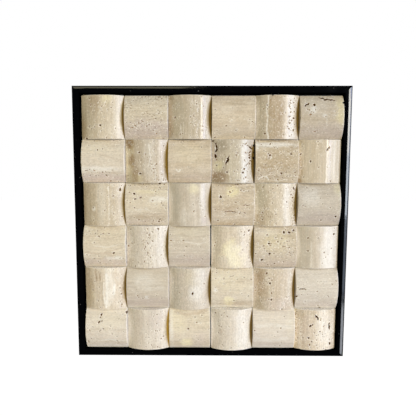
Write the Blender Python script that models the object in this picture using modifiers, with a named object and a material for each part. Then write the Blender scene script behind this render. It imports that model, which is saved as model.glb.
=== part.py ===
"""A framed mosaic wall panel: rows of arched travertine tiles, turned a quarter turn from one to the next,
on a backing board in a slim black frame of four mitred rails.

Metres, +Z up. The panel hangs against a wall: its back lies in the plane Y = 0 and its face looks along -Y.
The origin is the middle of the board's back.
"""

import math
import random

import bmesh
import bpy
from mathutils import Vector

# Mosaic: a square sheet of two-inch modules, laid dry
TILES_A_SIDE = 6
TILE_PITCH = 0.0508
DRY_JOINT = 0.0004
EDGE_THICKNESS = 0.0080
ARCH_RISE = 0.0083
ARRIS_WIDTH = 0.0005
ARCH_STEPS = 16

# Hand-set unevenness: the most that a tile is trimmed narrower than its cell, or ground thinner
MOST_TRIM = 0.0005
MOST_GRINDING = 0.0003
SETTING_SEED = 36

# Joints that stand open wider than the rest, by the row and column of the tile on their left
OPEN_JOINTS = {(2, 4): 0.0004, (4, 3): 0.0008, (6, 3): 0.0005}

# Backing board, let into a rebate behind the frame's lip
BOARD_THICKNESS = 0.0060
REBATE_WIDTH = 0.0045
SEAT_GAP = 0.0003

# Frame moulding, seen in section: lip bevel, flat, outer bevel, rounded outer corner
RAIL_WIDTH = 0.0087
FRAME_ABOVE_EDGES = 0.0040
LIP_BEVEL_WIDTH = 0.0005
LIP_BEVEL_DROP = 0.0005
OUTER_BEVEL_WIDTH = 0.0026
OUTER_BEVEL_DROP = 0.0005
CORNER_RADIUS = 0.0019
CORNER_STEPS = 5
MITRE_GAP = 0.0003

# Play of the mosaic in the frame's square opening: it rests low, so the gap above it is the wider one
GAP_ABOVE = 0.0021
GAP_BELOW = 0.0003

# Edges flatter than this stay smooth, and sharper ones are true arrises
SHARPEST_SMOOTH = math.radians(30)

# Worked out from the sizes above
TILE_WIDTH = TILE_PITCH - DRY_JOINT
FACE_RADIUS = ((TILE_WIDTH / 2) ** 2 + ARCH_RISE**2) / (2 * ARCH_RISE)
TILE_BACK = BOARD_THICKNESS + SEAT_GAP
MOSAIC_DROP = (GAP_ABOVE - GAP_BELOW) / 2
SIGHT_SIDE = TILES_A_SIDE * TILE_PITCH - DRY_JOINT + GAP_ABOVE + GAP_BELOW
OUTER_SIDE = SIGHT_SIDE + 2 * RAIL_WIDTH
BOARD_SIDE = SIGHT_SIDE + 2 * (REBATE_WIDTH - SEAT_GAP)
FRAME_DEPTH = TILE_BACK + EDGE_THICKNESS + FRAME_ABOVE_EDGES


def finish(name, colour, roughness):
    """A plain material in the piece's own colour."""
    material = bpy.data.materials.new(name)
    material.use_nodes = True
    shader = material.node_tree.nodes["Principled BSDF"]
    shader.inputs["Base Color"].default_value = (*colour, 1.0)
    shader.inputs["Roughness"].default_value = roughness
    shader.inputs["Metallic"].default_value = 0.0
    material.diffuse_color = (*colour, 1.0)
    return material


def prism(outline, length, place):
    """A bmesh of the closed outline carried over the length: place(u, v, run) puts each point in space."""
    mesh = bmesh.new()
    end = mesh.faces.new([mesh.verts.new(place(u, v, -length / 2)) for u, v in outline])
    carried = bmesh.ops.extrude_face_region(mesh, geom=[end])
    moved = [item for item in carried["geom"] if isinstance(item, bmesh.types.BMVert)]
    travel = place(0.0, 0.0, length / 2) - place(0.0, 0.0, -length / 2)
    bmesh.ops.translate(mesh, verts=moved, vec=travel)
    return mesh


def add_piece(name, mesh, material, collection):
    """Turns a bmesh into a named object, with its faces pointing out and its round stretches smooth."""
    bmesh.ops.recalc_face_normals(mesh, faces=mesh.faces[:])
    data = bpy.data.meshes.new(name)
    mesh.to_mesh(data)
    mesh.free()
    data.shade_smooth()
    data.set_sharp_from_angle(angle=SHARPEST_SMOOTH)
    data.materials.append(material)
    piece = bpy.data.objects.new(name, data)
    collection.objects.link(piece)
    return piece


def arched_outline(width, crown):
    """The end of a tile as (across, out) points: flat back, upright sides and a face that is one arc."""
    half = width / 2
    sweep = math.asin(half / FACE_RADIUS)
    arc_middle = crown - FACE_RADIUS
    outline = [(-half, 0.0), (half, 0.0)]
    for step in range(ARCH_STEPS + 1):
        angle = sweep * (1 - 2 * step / ARCH_STEPS)
        outline.append((FACE_RADIUS * math.sin(angle), arc_middle + FACE_RADIUS * math.cos(angle)))
    return outline


def add_tile(name, width, height, crown, arch_stands_upright, material, collection):
    """One arched tile about the middle of its back, with eased arrises. Its arch runs upright or level."""
    if arch_stands_upright:
        mesh = prism(arched_outline(width, crown), height, lambda u, v, run: Vector((u, -v, run)))
    else:
        mesh = prism(arched_outline(height, crown), width, lambda u, v, run: Vector((run, -v, u)))
    tile = add_piece(name, mesh, material, collection)
    eased = tile.modifiers.new("eased arrises", "BEVEL")
    eased.width = ARRIS_WIDTH
    eased.segments = 1
    eased.limit_method = "ANGLE"
    eased.angle_limit = SHARPEST_SMOOTH
    eased.mark_sharp = True
    return tile


def add_mosaic(material, collection):
    """The tiles in rows, top row first, each trimmed a little and set a little off the middle of its cell."""
    setting = random.Random(SETTING_SEED)
    middle = (TILES_A_SIDE - 1) / 2
    for row in range(TILES_A_SIDE):
        for column in range(TILES_A_SIDE):
            opened = OPEN_JOINTS.get((row + 1, column + 1), 0.0)
            trim_x = setting.uniform(0, MOST_TRIM)
            trim_z = setting.uniform(0, MOST_TRIM)
            shift_x = setting.uniform(-0.5, 0.5) * trim_x - opened / 2
            shift_z = setting.uniform(-0.5, 0.5) * trim_z
            tile = add_tile(
                f"tile_row{row + 1}_column{column + 1}",
                TILE_WIDTH - trim_x - opened,
                TILE_WIDTH - trim_z,
                EDGE_THICKNESS + ARCH_RISE - setting.uniform(0, MOST_GRINDING),
                (row + column) % 2 == 0,
                material,
                collection,
            )
            tile.location = (
                (column - middle) * TILE_PITCH + shift_x,
                -TILE_BACK,
                (middle - row) * TILE_PITCH + shift_z - MOSAIC_DROP,
            )


def add_board(material, collection):
    """The flat backing board, let into the rebate flush with the back of the frame."""
    mesh = bmesh.new()
    bmesh.ops.create_cube(mesh, size=1.0)
    bmesh.ops.scale(mesh, vec=(BOARD_SIDE, BOARD_THICKNESS, BOARD_SIDE), verts=mesh.verts[:])
    board = add_piece("backing_board", mesh, material, collection)
    board.location = (0.0, -BOARD_THICKNESS / 2, 0.0)


def moulding_section():
    """The frame's section as (out from the sight edge, forward from the back) points, with the rebate behind."""
    shoulder = FRAME_DEPTH - OUTER_BEVEL_DROP
    corner_out = RAIL_WIDTH - CORNER_RADIUS
    section = [(REBATE_WIDTH, 0.0), (RAIL_WIDTH, 0.0)]
    for step in range(CORNER_STEPS + 1):
        angle = math.radians(90) * step / CORNER_STEPS
        out = corner_out + CORNER_RADIUS * math.cos(angle)
        forward = shoulder - CORNER_RADIUS + CORNER_RADIUS * math.sin(angle)
        section.append((out, forward))
    section += [
        (corner_out - OUTER_BEVEL_WIDTH, FRAME_DEPTH),
        (LIP_BEVEL_WIDTH, FRAME_DEPTH),
        (0.0, FRAME_DEPTH - LIP_BEVEL_DROP),
        (0.0, TILE_BACK),
        (REBATE_WIDTH, TILE_BACK),
    ]
    return section


def saw_mitre(mesh, side):
    """Saws one end of a rail at 45 degrees, half the mitre gap short of the diagonal."""
    corner = Vector((side * SIGHT_SIDE / 2, 0.0, SIGHT_SIDE / 2))
    normal = Vector((side, 0.0, -1.0)).normalized()
    cut = bmesh.ops.bisect_plane(
        mesh,
        geom=mesh.verts[:] + mesh.edges[:] + mesh.faces[:],
        plane_co=corner - normal * MITRE_GAP / 2,
        plane_no=normal,
        clear_outer=True,
    )
    rim = [item for item in cut["geom_cut"] if isinstance(item, bmesh.types.BMEdge)]
    bmesh.ops.holes_fill(mesh, edges=rim)


def add_frame(material, collection):
    """The four mitred rails. Each is made as the top one, then turned about the middle of the panel."""
    sight = SIGHT_SIDE / 2
    for quarter_turns, side in enumerate(("top", "right", "bottom", "left")):
        stock = prism(moulding_section(), OUTER_SIDE, lambda u, v, run: Vector((run, -v, sight + u)))
        for end in (-1, 1):
            saw_mitre(stock, end)
        rail = add_piece(f"frame_rail_{side}", stock, material, collection)
        rail.rotation_euler = (0.0, math.radians(90) * quarter_turns, 0.0)


def main():
    """Clears the scene and builds the panel."""
    for leftover in list(bpy.data.objects):
        bpy.data.objects.remove(leftover)
    panel = bpy.data.collections.new("mosaic wall panel")
    bpy.context.scene.collection.children.link(panel)
    add_mosaic(finish("honed travertine", (0.66, 0.57, 0.43), 0.35), panel)
    add_board(finish("brown hardboard", (0.17, 0.10, 0.055), 0.75), panel)
    add_frame(finish("black lacquer", (0.008, 0.008, 0.010), 0.12), panel)


main()
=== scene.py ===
"""The looks of a framed mosaic wall panel: arched travertine tiles in a slim black lacquered frame.

Metres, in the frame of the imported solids: +X to the viewer's right, +Z up, and the face looks along -Y.
Each tile and rail is a finer surface, worked out with numpy inside the solid that it stands for.
"""

import logging
import math
from dataclasses import dataclass, field
from enum import Enum
from typing import Any

import bpy
import numpy as np
from mathutils import Matrix, Vector


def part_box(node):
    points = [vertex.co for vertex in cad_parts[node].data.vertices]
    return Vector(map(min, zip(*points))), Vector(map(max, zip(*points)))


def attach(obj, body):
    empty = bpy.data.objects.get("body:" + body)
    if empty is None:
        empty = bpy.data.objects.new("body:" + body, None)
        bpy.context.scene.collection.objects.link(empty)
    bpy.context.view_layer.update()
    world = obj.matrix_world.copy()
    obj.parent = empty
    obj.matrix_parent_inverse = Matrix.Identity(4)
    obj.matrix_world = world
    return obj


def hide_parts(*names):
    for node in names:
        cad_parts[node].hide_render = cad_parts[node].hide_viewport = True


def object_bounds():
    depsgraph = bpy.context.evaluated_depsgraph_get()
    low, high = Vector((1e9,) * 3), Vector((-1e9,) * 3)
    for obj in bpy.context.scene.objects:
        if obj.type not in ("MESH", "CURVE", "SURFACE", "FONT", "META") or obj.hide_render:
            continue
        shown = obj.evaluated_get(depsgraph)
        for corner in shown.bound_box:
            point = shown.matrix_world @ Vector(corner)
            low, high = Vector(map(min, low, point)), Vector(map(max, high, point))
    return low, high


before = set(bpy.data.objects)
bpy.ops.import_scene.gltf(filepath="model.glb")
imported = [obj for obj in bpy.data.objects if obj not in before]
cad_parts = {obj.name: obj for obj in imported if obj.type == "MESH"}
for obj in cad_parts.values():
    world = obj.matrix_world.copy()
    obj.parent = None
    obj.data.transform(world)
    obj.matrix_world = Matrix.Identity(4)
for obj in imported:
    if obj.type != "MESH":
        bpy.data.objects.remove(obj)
CAD_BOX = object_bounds()

Array = np.ndarray
Triple = tuple[float, float, float]
Colour = Triple
Path = tuple[tuple[float, float], ...]
Socket = bpy.types.NodeSocket

MM = 0.001
CM_A_METRE = 100
BODY = "root"
TILES_A_SIDE = 6

# The sockets of a colour mix, by number
SHARE, FROM, TO, MIXED = 0, 6, 7, 2

log = logging.getLogger("mosaic_panel")


class Stain(Enum):
    """A colour for stains and painted light and shade. Its value is its place in the colour attributes."""

    HONEY = 0
    UMBER = 1
    SAGE = 2
    CHALK = 3
    ROSE = 4


class Side(Enum):
    """A side of a tile's face, as seen from the front."""

    LEFT = "left"
    RIGHT = "right"
    TOP = "top"
    BOTTOM = "bottom"


class Shade(Enum):
    """How light a whole tile is beside the others."""

    DARK = 0.82
    DUSKY = 0.89
    DIM = 0.94
    EVEN = 1.00
    FAIR = 1.05
    LIGHT = 1.10


class Tone(Enum):
    """The colour of a whole tile, as shares of honey, umber, sage, chalk and rose over the plain stone."""

    CREAM = (0.00, 0.00, 0.00, 0.10, 0.00)
    SAND = (0.06, 0.12, 0.00, 0.00, 0.05)
    OLIVE = (0.04, 0.08, 0.20, 0.00, 0.00)
    GREY = (0.00, 0.00, 0.12, 0.22, 0.12)
    BUTTER = (0.12, 0.00, 0.00, 0.14, 0.03)
    PALE = (0.00, 0.00, 0.00, 0.42, 0.14)


@dataclass(frozen=True)
class Pit:
    """An open pore in a tile's face.

    Its place is in shares of the face, across from the left and down from the top. Its mouth's length and
    width are in millimetres, with the long way turned anticlockwise from the level by that many degrees.
    """

    across: float
    down: float
    long: float
    wide: float
    turn: float = 0.0


@dataclass(frozen=True)
class Patch:
    """A soft patch of a stain: its middle and half extents in shares of the face, and how strong it is."""

    stain: Stain
    across: float
    down: float
    half_width: float
    half_height: float
    amount: float


@dataclass(frozen=True)
class Crack:
    """An open crack: its path in shares of the face, across and down, and its width in millimetres."""

    path: Path
    wide: float


@dataclass(frozen=True)
class Vein:
    """A line of a stain along a path: its width in millimetres, and how strong it is."""

    stain: Stain
    path: Path
    wide: float
    amount: float


@dataclass(frozen=True)
class Notch:
    """A chip out of one side of a tile: how far along it lies, as a share, and its size in millimetres."""

    side: Side
    along: float
    wide: float
    deep: float


@dataclass(frozen=True)
class Stone:
    """What sets one tile's stone apart: its tone, how light, porous and polished it is, and what it shows.

    Its amber is how golden the painted shadow is in the low angle beside its right neighbour.
    """

    tone: Tone
    shade: Shade
    pores: float
    polish: float
    pits: tuple[Pit, ...] = ()
    patches: tuple[Patch, ...] = ()
    veins: tuple[Vein, ...] = ()
    cracks: tuple[Crack, ...] = ()
    notches: tuple[Notch, ...] = ()
    shadow_amber: float = 0.0


# The stains by one letter, for the notes below
H, U, S, C, R = Stain.HONEY, Stain.UMBER, Stain.SAGE, Stain.CHALK, Stain.ROSE

# What each tile's stone looks like in the photograph, by row from the top and column from the left
# A darker patch down the left flank of an upright arch is partly painted shade, on the flank turned from the
# window
# A rose patch over the lower part of a level arch is partly painted shade, on the flank turned down from the
# light above
# A tall chalk patch down the right flank of an upright arch is partly painted highlight, where the window's
# reflection falls
# A thin chalk band along the bottom of a level arch in the lower rows is painted light on its lower edge
STONES: dict[tuple[int, int], Stone] = {
    (1, 1): Stone(
        Tone.OLIVE, Shade.FAIR, pores=.45, polish=.3,
        pits=(Pit(.25, .23, 2.4, 1.3, 80), Pit(.46, .69, 2.0, 1.8, 60), Pit(.49, .81, 1.5, 1.3),
              Pit(.21, .70, 2.2, 1.0, 75), Pit(.24, .77, 1.7, 1.1), Pit(.36, .66, 1.4, 1.0),
              Pit(.12, .99, 2.2, 1.6)),
        patches=(Patch(U, .30, .18, .14, .30, .50), Patch(U, .05, .72, .10, .34, .60),
                 Patch(S, .15, .5, .22, .8, .25), Patch(H, .62, .09, .14, .14, .60),
                 Patch(C, .90, .5, .14, .8, .20)),
    ),
    (1, 2): Stone(
        Tone.BUTTER, Shade.DIM, pores=1.15, polish=.3,
        pits=(Pit(.80, .42, 1.9, 1.4), Pit(.88, .40, 1.5, 1.0), Pit(.73, .54, 1.5, 1.3),
              Pit(.59, .63, 1.7, 1.1, 20), Pit(.25, .69, 2.2, 1.2, -20), Pit(.39, .72, 1.5, 1.2),
              Pit(.73, .87, 1.9, 1.1, -20), Pit(.47, .66, 1.3, .9, 40), Pit(.66, .80, 1.8, .9, -30),
              Pit(.12, .38, 1.6, .8, 20)),
        patches=(Patch(R, .5, .80, 1.0, .30, .85), Patch(S, .3, .10, .8, .12, .18)),
    ),
    (1, 3): Stone(
        Tone.OLIVE, Shade.DIM, pores=.6, polish=1.1,
        pits=(Pit(.65, .21, 1.9, 1.3, 60), Pit(.16, .51, 2.0, 1.4, 70), Pit(.69, .36, 1.3, .9, 30),
              Pit(.60, .48, 1.2, .8)),
        patches=(Patch(U, .04, .5, .08, .9, .65), Patch(S, .25, .4, .18, .6, .30),
                 Patch(U, .28, .8, .10, .3, .20)),
        veins=(Vein(C, ((.30, .70), (.31, .98)), 1.4, .5), Vein(C, ((.36, .62), (.35, .95)), .9, .4)),
    ),
    (1, 4): Stone(
        Tone.SAND, Shade.EVEN, pores=.15, polish=.3,
        pits=(Pit(.91, .60, 1.7, 1.3), Pit(.55, .81, 1.5, 1.2), Pit(.93, .08, 1.4, .9),
              Pit(.90, .68, 1.2, .9), Pit(.12, .80, 1.7, .9, 40)),
        patches=(Patch(C, .35, .33, .25, .12, .15), Patch(S, .5, .85, .6, .12, .15)),
    ),
    (1, 5): Stone(
        Tone.SAND, Shade.DIM, pores=.5, polish=.5,
        pits=(Pit(.79, .38, 1.9, 1.3, 40), Pit(.76, .48, 1.7, 1.4), Pit(.87, .37, 1.7, 1.4),
              Pit(.86, .52, 1.9, 1.5), Pit(.78, .63, 1.8, 1.4), Pit(.86, .79, 1.9, 1.5),
              Pit(.85, .17, 1.8, 1.2), Pit(.88, .27, 1.7, 1.3), Pit(.88, .07, 1.5, 1.2),
              Pit(.25, .24, 2.2, 1.2, 85), Pit(.21, .88, 1.7, 1.4), Pit(.26, .32, 1.5, 1.0, 85),
              Pit(.76, .27, 1.5, 1.2), Pit(.90, .66, 1.5, 1.2), Pit(.42, .56, 1.3, 1.0),
              Pit(.34, .82, 1.4, 1.0), Pit(.76, .93, 1.6, 1.2), Pit(.82, .89, 1.5, 1.1),
              Pit(.82, .57, 1.5, 1.1), Pit(.78, .12, 1.4, 1.0)),
        patches=(Patch(S, .10, .5, .15, 1.2, .50), Patch(U, .47, .5, .17, 1.3, .38),
                 Patch(C, .80, .5, .12, 1.4, .62), Patch(U, .32, .5, .04, 1.2, .30)),
        veins=(Vein(C, ((.28, .0), (.27, .22), (.24, .34), (.27, .5), (.25, .78), (.29, 1.0)), 1.9, .85),),
        notches=(Notch(Side.TOP, .37, 2.4, 1.1),),
    ),
    (1, 6): Stone(
        Tone.SAND, Shade.DARK, pores=.3, polish=.3,
        pits=(Pit(.32, .22, 2.8, 2.2, -20), Pit(.34, .33, 1.8, 1.1, 80), Pit(.57, .49, 1.8, 1.3, -40),
              Pit(.29, .40, 1.3, .9)),
        patches=(Patch(C, .56, .47, .08, .06, .80), Patch(C, .30, .33, .09, .08, .80),
                 Patch(H, .93, .34, .16, .40, .75), Patch(R, .6, .85, .6, .22, .55),
                 Patch(C, .4, .3, .45, .3, .30)),
        veins=(Vein(C, ((.60, .52), (.61, .70)), 1.3, .6),),
        cracks=(Crack(((.44, .04), (.53, .06), (.58, .10), (.63, .07), (.70, .10), (.80, .11)), 1.9),
                Crack(((.10, .25), (.15, .21), (.20, .20)), 1.6)),
        notches=(Notch(Side.RIGHT, .17, 2.6, 1.9),),
    ),
    (2, 1): Stone(
        Tone.GREY, Shade.FAIR, pores=.45, polish=.3,
        pits=(Pit(.38, .25, 1.7, 1.4, 30), Pit(.50, .22, 1.4, 1.1), Pit(.57, .83, 2.2, 1.4),
              Pit(.30, .29, 1.5, .9, 40), Pit(.65, .96, 1.5, 1.1, 50), Pit(.84, .97, 1.5, 1.2),
              Pit(.60, .20, 1.2, .9), Pit(.24, .36, 1.2, .8)),
        patches=(Patch(R, .5, .91, 1.0, .13, 1.0), Patch(C, .35, .68, .8, .09, .75),
                 Patch(H, .3, .15, .5, .25, .20), Patch(C, .93, .82, .09, .03, .8)),
        veins=(Vein(U, ((.45, .36), (.7, .42), (.98, .50)), 2.4, .30),
               Vein(U, ((.0, .78), (.5, .76), (1.0, .79)), 1.5, .30)),
    ),
    (2, 2): Stone(
        Tone.SAND, Shade.DUSKY, pores=.85, polish=.6,
        pits=(Pit(.34, .30, 1.9, 1.7), Pit(.48, .34, 3.0, 1.0, 85), Pit(.19, .57, 1.8, 1.5),
              Pit(.36, .79, 2.2, 1.9), Pit(.38, .48, 1.9, 1.2, -30), Pit(.73, .57, 2.6, 1.2, 75),
              Pit(.67, .68, 1.8, 1.2, 70), Pit(.70, .67, 1.4, 1.1), Pit(.88, .94, 2.2, 1.1, 80),
              Pit(.42, .40, 1.5, .9, 80), Pit(.46, .56, 1.4, 1.0), Pit(.62, .42, 1.5, .9, 80)),
        patches=(Patch(U, .12, .10, .13, .15, .75), Patch(U, .17, .52, .10, .20, .60),
                 Patch(H, .10, .45, .13, .8, .55), Patch(U, .26, .82, .10, .22, .60),
                 Patch(H, .30, .90, .14, .14, .5), Patch(C, .55, .4, .18, .6, .35)),
        veins=(Vein(C, ((.56, .1), (.6, .4), (.57, .6)), 1.2, .5),
               Vein(C, ((.72, .7), (.7, .95)), 1.4, .5)),
        shadow_amber=.35,
    ),
    (2, 3): Stone(
        Tone.SAND, Shade.EVEN, pores=.05, polish=.3,
        pits=(Pit(.80, .55, 1.2, .9), Pit(.12, .80, 1.2, .9)),
        patches=(Patch(R, .6, .9, .6, .12, .35), Patch(H, .5, .3, .4, .25, .15)),
        veins=(Vein(C, ((.19, .69), (.235, .735), (.28, .70)), 1.4, 1.0),),
    ),
    (2, 4): Stone(
        Tone.CREAM, Shade.DARK, pores=.9, polish=.6,
        pits=(Pit(.12, .46, 1.7, 1.3), Pit(.12, .59, 2.2, 1.6, 80), Pit(.03, .03, 2.6, 1.9),
              Pit(.36, .75, 2.1, 1.8), Pit(.46, .10, 2.0, 1.1, 60), Pit(.61, .31, 2.2, 1.2, -50),
              Pit(.76, .67, 2.0, 1.7), Pit(.735, .755, 2.3, 2.0), Pit(.28, .64, 1.7, 1.1, 60),
              Pit(.48, .27, 1.3, .9, 70), Pit(.58, .18, 1.4, .9), Pit(.80, .30, 1.6, 1.3),
              Pit(.77, .47, 1.7, 1.2, 80), Pit(.83, .58, 1.4, 1.1), Pit(.80, .86, 1.6, 1.2),
              Pit(.92, .28, 2.8, 1.5, 70), Pit(.89, .35, 2.4, 1.4, 20), Pit(.92, .41, 3.0, 1.7, -60),
              Pit(.90, .48, 2.0, 1.3, 40), Pit(.96, .20, 2.4, 1.5, 80), Pit(.95, .50, 2.2, 1.4, 80)),
        patches=(Patch(U, .92, .30, .05, .26, .55), Patch(S, .22, .12, .20, .22, .45),
                 Patch(U, .25, .15, .15, .18, .30), Patch(H, .18, .60, .16, .16, .80),
                 Patch(U, .20, .86, .24, .17, .80), Patch(H, .5, .5, .3, .6, .20),
                 Patch(U, .04, .4, .06, .5, .35), Patch(C, .76, .5, .09, 1.2, .60)),
        cracks=(Crack(((.09, .07), (.12, .15), (.115, .24), (.10, .28)), 2.0),
                Crack(((.09, .33), (.10, .42)), 2.2),
                Crack(((.40, .37), (.385, .44), (.36, .50), (.32, .57)), 2.3),
                Crack(((.86, .13), (.90, .17), (.93, .22)), 1.7)),
        notches=(Notch(Side.RIGHT, .13, 3.6, 1.8), Notch(Side.RIGHT, .29, 2.6, 1.3),
                 Notch(Side.RIGHT, .42, 3.4, 1.9)),
    ),
    (2, 5): Stone(
        Tone.SAND, Shade.DIM, pores=.9, polish=.3,
        pits=(Pit(.34, .11, 2.0, 1.5, 80), Pit(.33, .36, 2.8, 1.5, 10), Pit(.31, .42, 1.9, 1.3, -10),
              Pit(.24, .28, 1.8, 1.1, -20), Pit(.815, .33, 2.2, 1.8), Pit(.60, .775, 2.3, 1.5, -40),
              Pit(.57, .30, 1.3, 1.0), Pit(.68, .29, 1.4, .9), Pit(.07, .86, 2.2, 1.0, 50),
              Pit(.13, .81, 1.9, .9, -20), Pit(.20, .88, 2.4, 1.0, -40), Pit(.27, .83, 1.6, .9, 30),
              Pit(.36, .90, 2.2, 1.0, 10), Pit(.45, .85, 1.8, .9, 60), Pit(.53, .92, 2.4, 1.1, -30),
              Pit(.64, .87, 2.0, 1.0, 25), Pit(.72, .93, 1.8, .9, -50), Pit(.80, .84, 2.0, 1.0, 15),
              Pit(.88, .91, 1.8, 1.0, 45), Pit(.93, .82, 1.6, .9)),
        patches=(Patch(C, .5, .12, .62, .065, .85), Patch(C, .04, .16, .06, .12, .7),
                 Patch(U, .5, .5, .7, .40, .36), Patch(H, .5, .5, .8, .4, .22)),
        veins=(Vein(C, ((.08, .92), (.17, .84), (.27, .85), (.33, .93)), 1.3, .9),
               Vein(C, ((.42, .93), (.55, .96), (.75, .90)), 1.2, .6),
               Vein(C, ((.30, .33), (.37, .40), (.33, .45)), 1.1, .7)),
    ),
    (2, 6): Stone(
        Tone.OLIVE, Shade.FAIR, pores=.25, polish=1.25,
        pits=(Pit(.06, .33, 2.2, 1.9, 60), Pit(.27, .50, 2.3, 1.7, 80), Pit(.41, .045, 1.9, 1.3),
              Pit(.07, .65, 1.9, 1.4, 70), Pit(.48, .045, 1.5, 1.1), Pit(.13, .60, 1.2, .9)),
        patches=(Patch(U, .04, .55, .07, .7, .60), Patch(H, .03, .3, .05, .4, .3),
                 Patch(U, .04, .97, .08, .08, .4), Patch(C, .90, .5, .10, 1.2, .20)),
        cracks=(Crack(((.63, .26), (.655, .20), (.68, .15)), 1.4),),
    ),
    (3, 1): Stone(
        Tone.OLIVE, Shade.FAIR, pores=.35, polish=.4,
        pits=(Pit(.88, .16, 4.0, 1.7, 97), Pit(.91, .06, 1.9, 1.2, 30), Pit(.25, .58, 1.9, 1.2, 60),
              Pit(.26, .87, 2.4, 1.0, 85), Pit(.86, .31, 1.5, 1.0)),
        patches=(Patch(C, .27, .60, .05, .06, .6), Patch(U, .03, .5, .05, .8, .35),
                 Patch(C, .45, .4, .12, .7, .25)),
        veins=(Vein(C, ((.62, .08), (.63, .5), (.62, .98)), 1.0, .55),),
    ),
    (3, 2): Stone(
        Tone.BUTTER, Shade.EVEN, pores=.7, polish=.3,
        pits=(Pit(.21, .25, 2.3, 2.0), Pit(.36, .33, 3.0, 1.4, 45), Pit(.24, .37, 2.8, 1.7, 30),
              Pit(.88, .51, 1.8, 1.5), Pit(.94, .58, 1.6, 1.4), Pit(.22, .57, 1.6, 1.3),
              Pit(.77, .90, 2.0, 1.6), Pit(.80, .01, 2.2, 1.9), Pit(.10, .21, 2.6, 1.0),
              Pit(.67, .17, 1.6, 1.0), Pit(.95, .14, 1.5, 1.0), Pit(.22, .05, 1.5, 1.0, 60)),
        patches=(Patch(U, .55, .80, .6, .10, .38), Patch(C, .76, .38, .24, .08, .7),
                 Patch(H, .5, .20, .4, .05, .4), Patch(R, .3, .93, .8, .08, .5)),
        veins=(Vein(C, ((.25, .62), (.5, .60), (.62, .66)), 1.2, .4),
               Vein(U, ((.4, .70), (.7, .72), (1.0, .68)), 1.4, .3)),
    ),
    (3, 3): Stone(
        Tone.GREY, Shade.DIM, pores=.1, polish=1.0,
        pits=(Pit(.86, .78, 1.5, 1.1), Pit(.78, .55, 1.2, .9)),
        patches=(Patch(S, .17, .35, .15, .55, .75), Patch(H, .57, .12, .14, .17, .90),
                 Patch(R, .85, .86, .10, .10, .5), Patch(C, .35, .8, .12, .2, .3)),
    ),
    (3, 4): Stone(
        Tone.SAND, Shade.EVEN, pores=.6, polish=.3,
        pits=(Pit(.21, .31, 2.5, 2.0), Pit(.69, .17, 1.9, 1.5), Pit(.75, .17, 1.7, 1.4),
              Pit(.86, .17, 2.2, 1.2, 15), Pit(.56, .665, 2.2, 1.0), Pit(.67, .67, 1.8, 1.1),
              Pit(.77, .69, 2.8, 1.4, -10), Pit(.16, .87, 2.2, 1.4), Pit(.55, .975, 2.0, 1.5),
              Pit(.08, .62, 1.6, 1.2), Pit(.38, .29, 1.3, 1.0)),
        patches=(Patch(H, .48, .20, .18, .16, .95), Patch(U, .45, .97, .4, .06, .25),
                 Patch(U, .3, .62, .4, .10, .2)),
        veins=(Vein(C, ((.15, .75), (.4, .78), (.7, .74)), 1.2, .35),),
        cracks=(Crack(((.69, .50), (.80, .505), (.92, .50)), .9),
                Crack(((.30, .66), (.45, .65), (.60, .67)), 1.1)),
    ),
    (3, 5): Stone(
        Tone.OLIVE, Shade.FAIR, pores=1.1, polish=.5,
        pits=(Pit(.22, .60, 1.9, 1.4), Pit(.30, .59, 1.9, 1.1, -50), Pit(.19, .68, 2.0, 1.4, 40),
              Pit(.17, .77, 1.7, 1.3), Pit(.19, .85, 1.9, 1.5), Pit(.02, .88, 1.8, 1.4),
              Pit(.36, .88, 1.5, 1.1), Pit(.92, .13, 3.6, 1.7, 105), Pit(.84, .27, 1.7, 1.4, 60),
              Pit(.89, .33, 2.4, 1.5, 30), Pit(.74, .43, 1.7, 1.4), Pit(.18, .08, 2.8, 1.1, 85),
              Pit(.43, .21, 1.6, 1.1), Pit(.76, .56, 1.4, 1.1), Pit(.72, .11, 1.4, 1.2),
              Pit(.10, .93, 1.4, 1.0)),
        patches=(Patch(S, .15, .35, .18, .45, .55), Patch(U, .14, .85, .16, .20, .40),
                 Patch(C, .74, .5, .10, 1.0, .4)),
    ),
    (3, 6): Stone(
        Tone.GREY, Shade.DARK, pores=.2, polish=.3,
        pits=(Pit(.89, .77, 2.3, 1.9), Pit(.56, .865, 2.0, 1.6), Pit(.19, .98, 2.0, 1.2),
              Pit(.56, .47, 1.6, 1.0, 85), Pit(.35, .15, 1.4, .9, 70), Pit(.66, .83, 1.3, 1.0)),
        patches=(Patch(H, .93, .13, .13, .17, .85), Patch(C, .3, .3, .28, .25, .50),
                 Patch(R, .6, .85, .6, .2, .5)),
    ),
    (4, 1): Stone(
        Tone.BUTTER, Shade.FAIR, pores=.4, polish=.3,
        pits=(Pit(.29, .18, 1.7, 1.4), Pit(.61, .19, 1.8, 1.4), Pit(.26, .39, 1.6, 1.3),
              Pit(.72, .64, 2.0, 1.6, 60), Pit(.42, .20, 1.2, .9), Pit(.08, .19, 1.4, .9)),
        patches=(Patch(R, .5, .9, .9, .15, .6), Patch(U, .58, .65, .18, .04, .35),
                 Patch(C, .72, .77, .25, .06, .7)),
        veins=(Vein(U, ((.0, .28), (.25, .24), (.6, .30), (1.0, .22)), 1.2, .28),
               Vein(U, ((.05, .6), (.35, .66), (.95, .5)), 1.5, .3),
               Vein(U, ((.1, .82), (.5, .75), (1.0, .62)), 1.2, .25),
               Vein(C, ((.3, .47), (.6, .50), (.9, .42)), 1.4, .35)),
    ),
    (4, 2): Stone(
        Tone.PALE, Shade.EVEN, pores=1.0, polish=.5,
        pits=(Pit(.76, .07, 2.1, 1.8, 30), Pit(.63, .145, 2.2, 1.3, -60), Pit(.63, .36, 2.3, 1.4, -40),
              Pit(.91, .12, 1.5, 1.3), Pit(.53, .43, 1.4, 1.2), Pit(.82, .70, 1.5, 1.2),
              Pit(.62, .48, 1.4, 1.0), Pit(.78, .28, 1.3, 1.0)),
        patches=(Patch(U, .05, .5, .08, .9, .55), Patch(S, .22, .4, .16, .7, .45),
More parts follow.
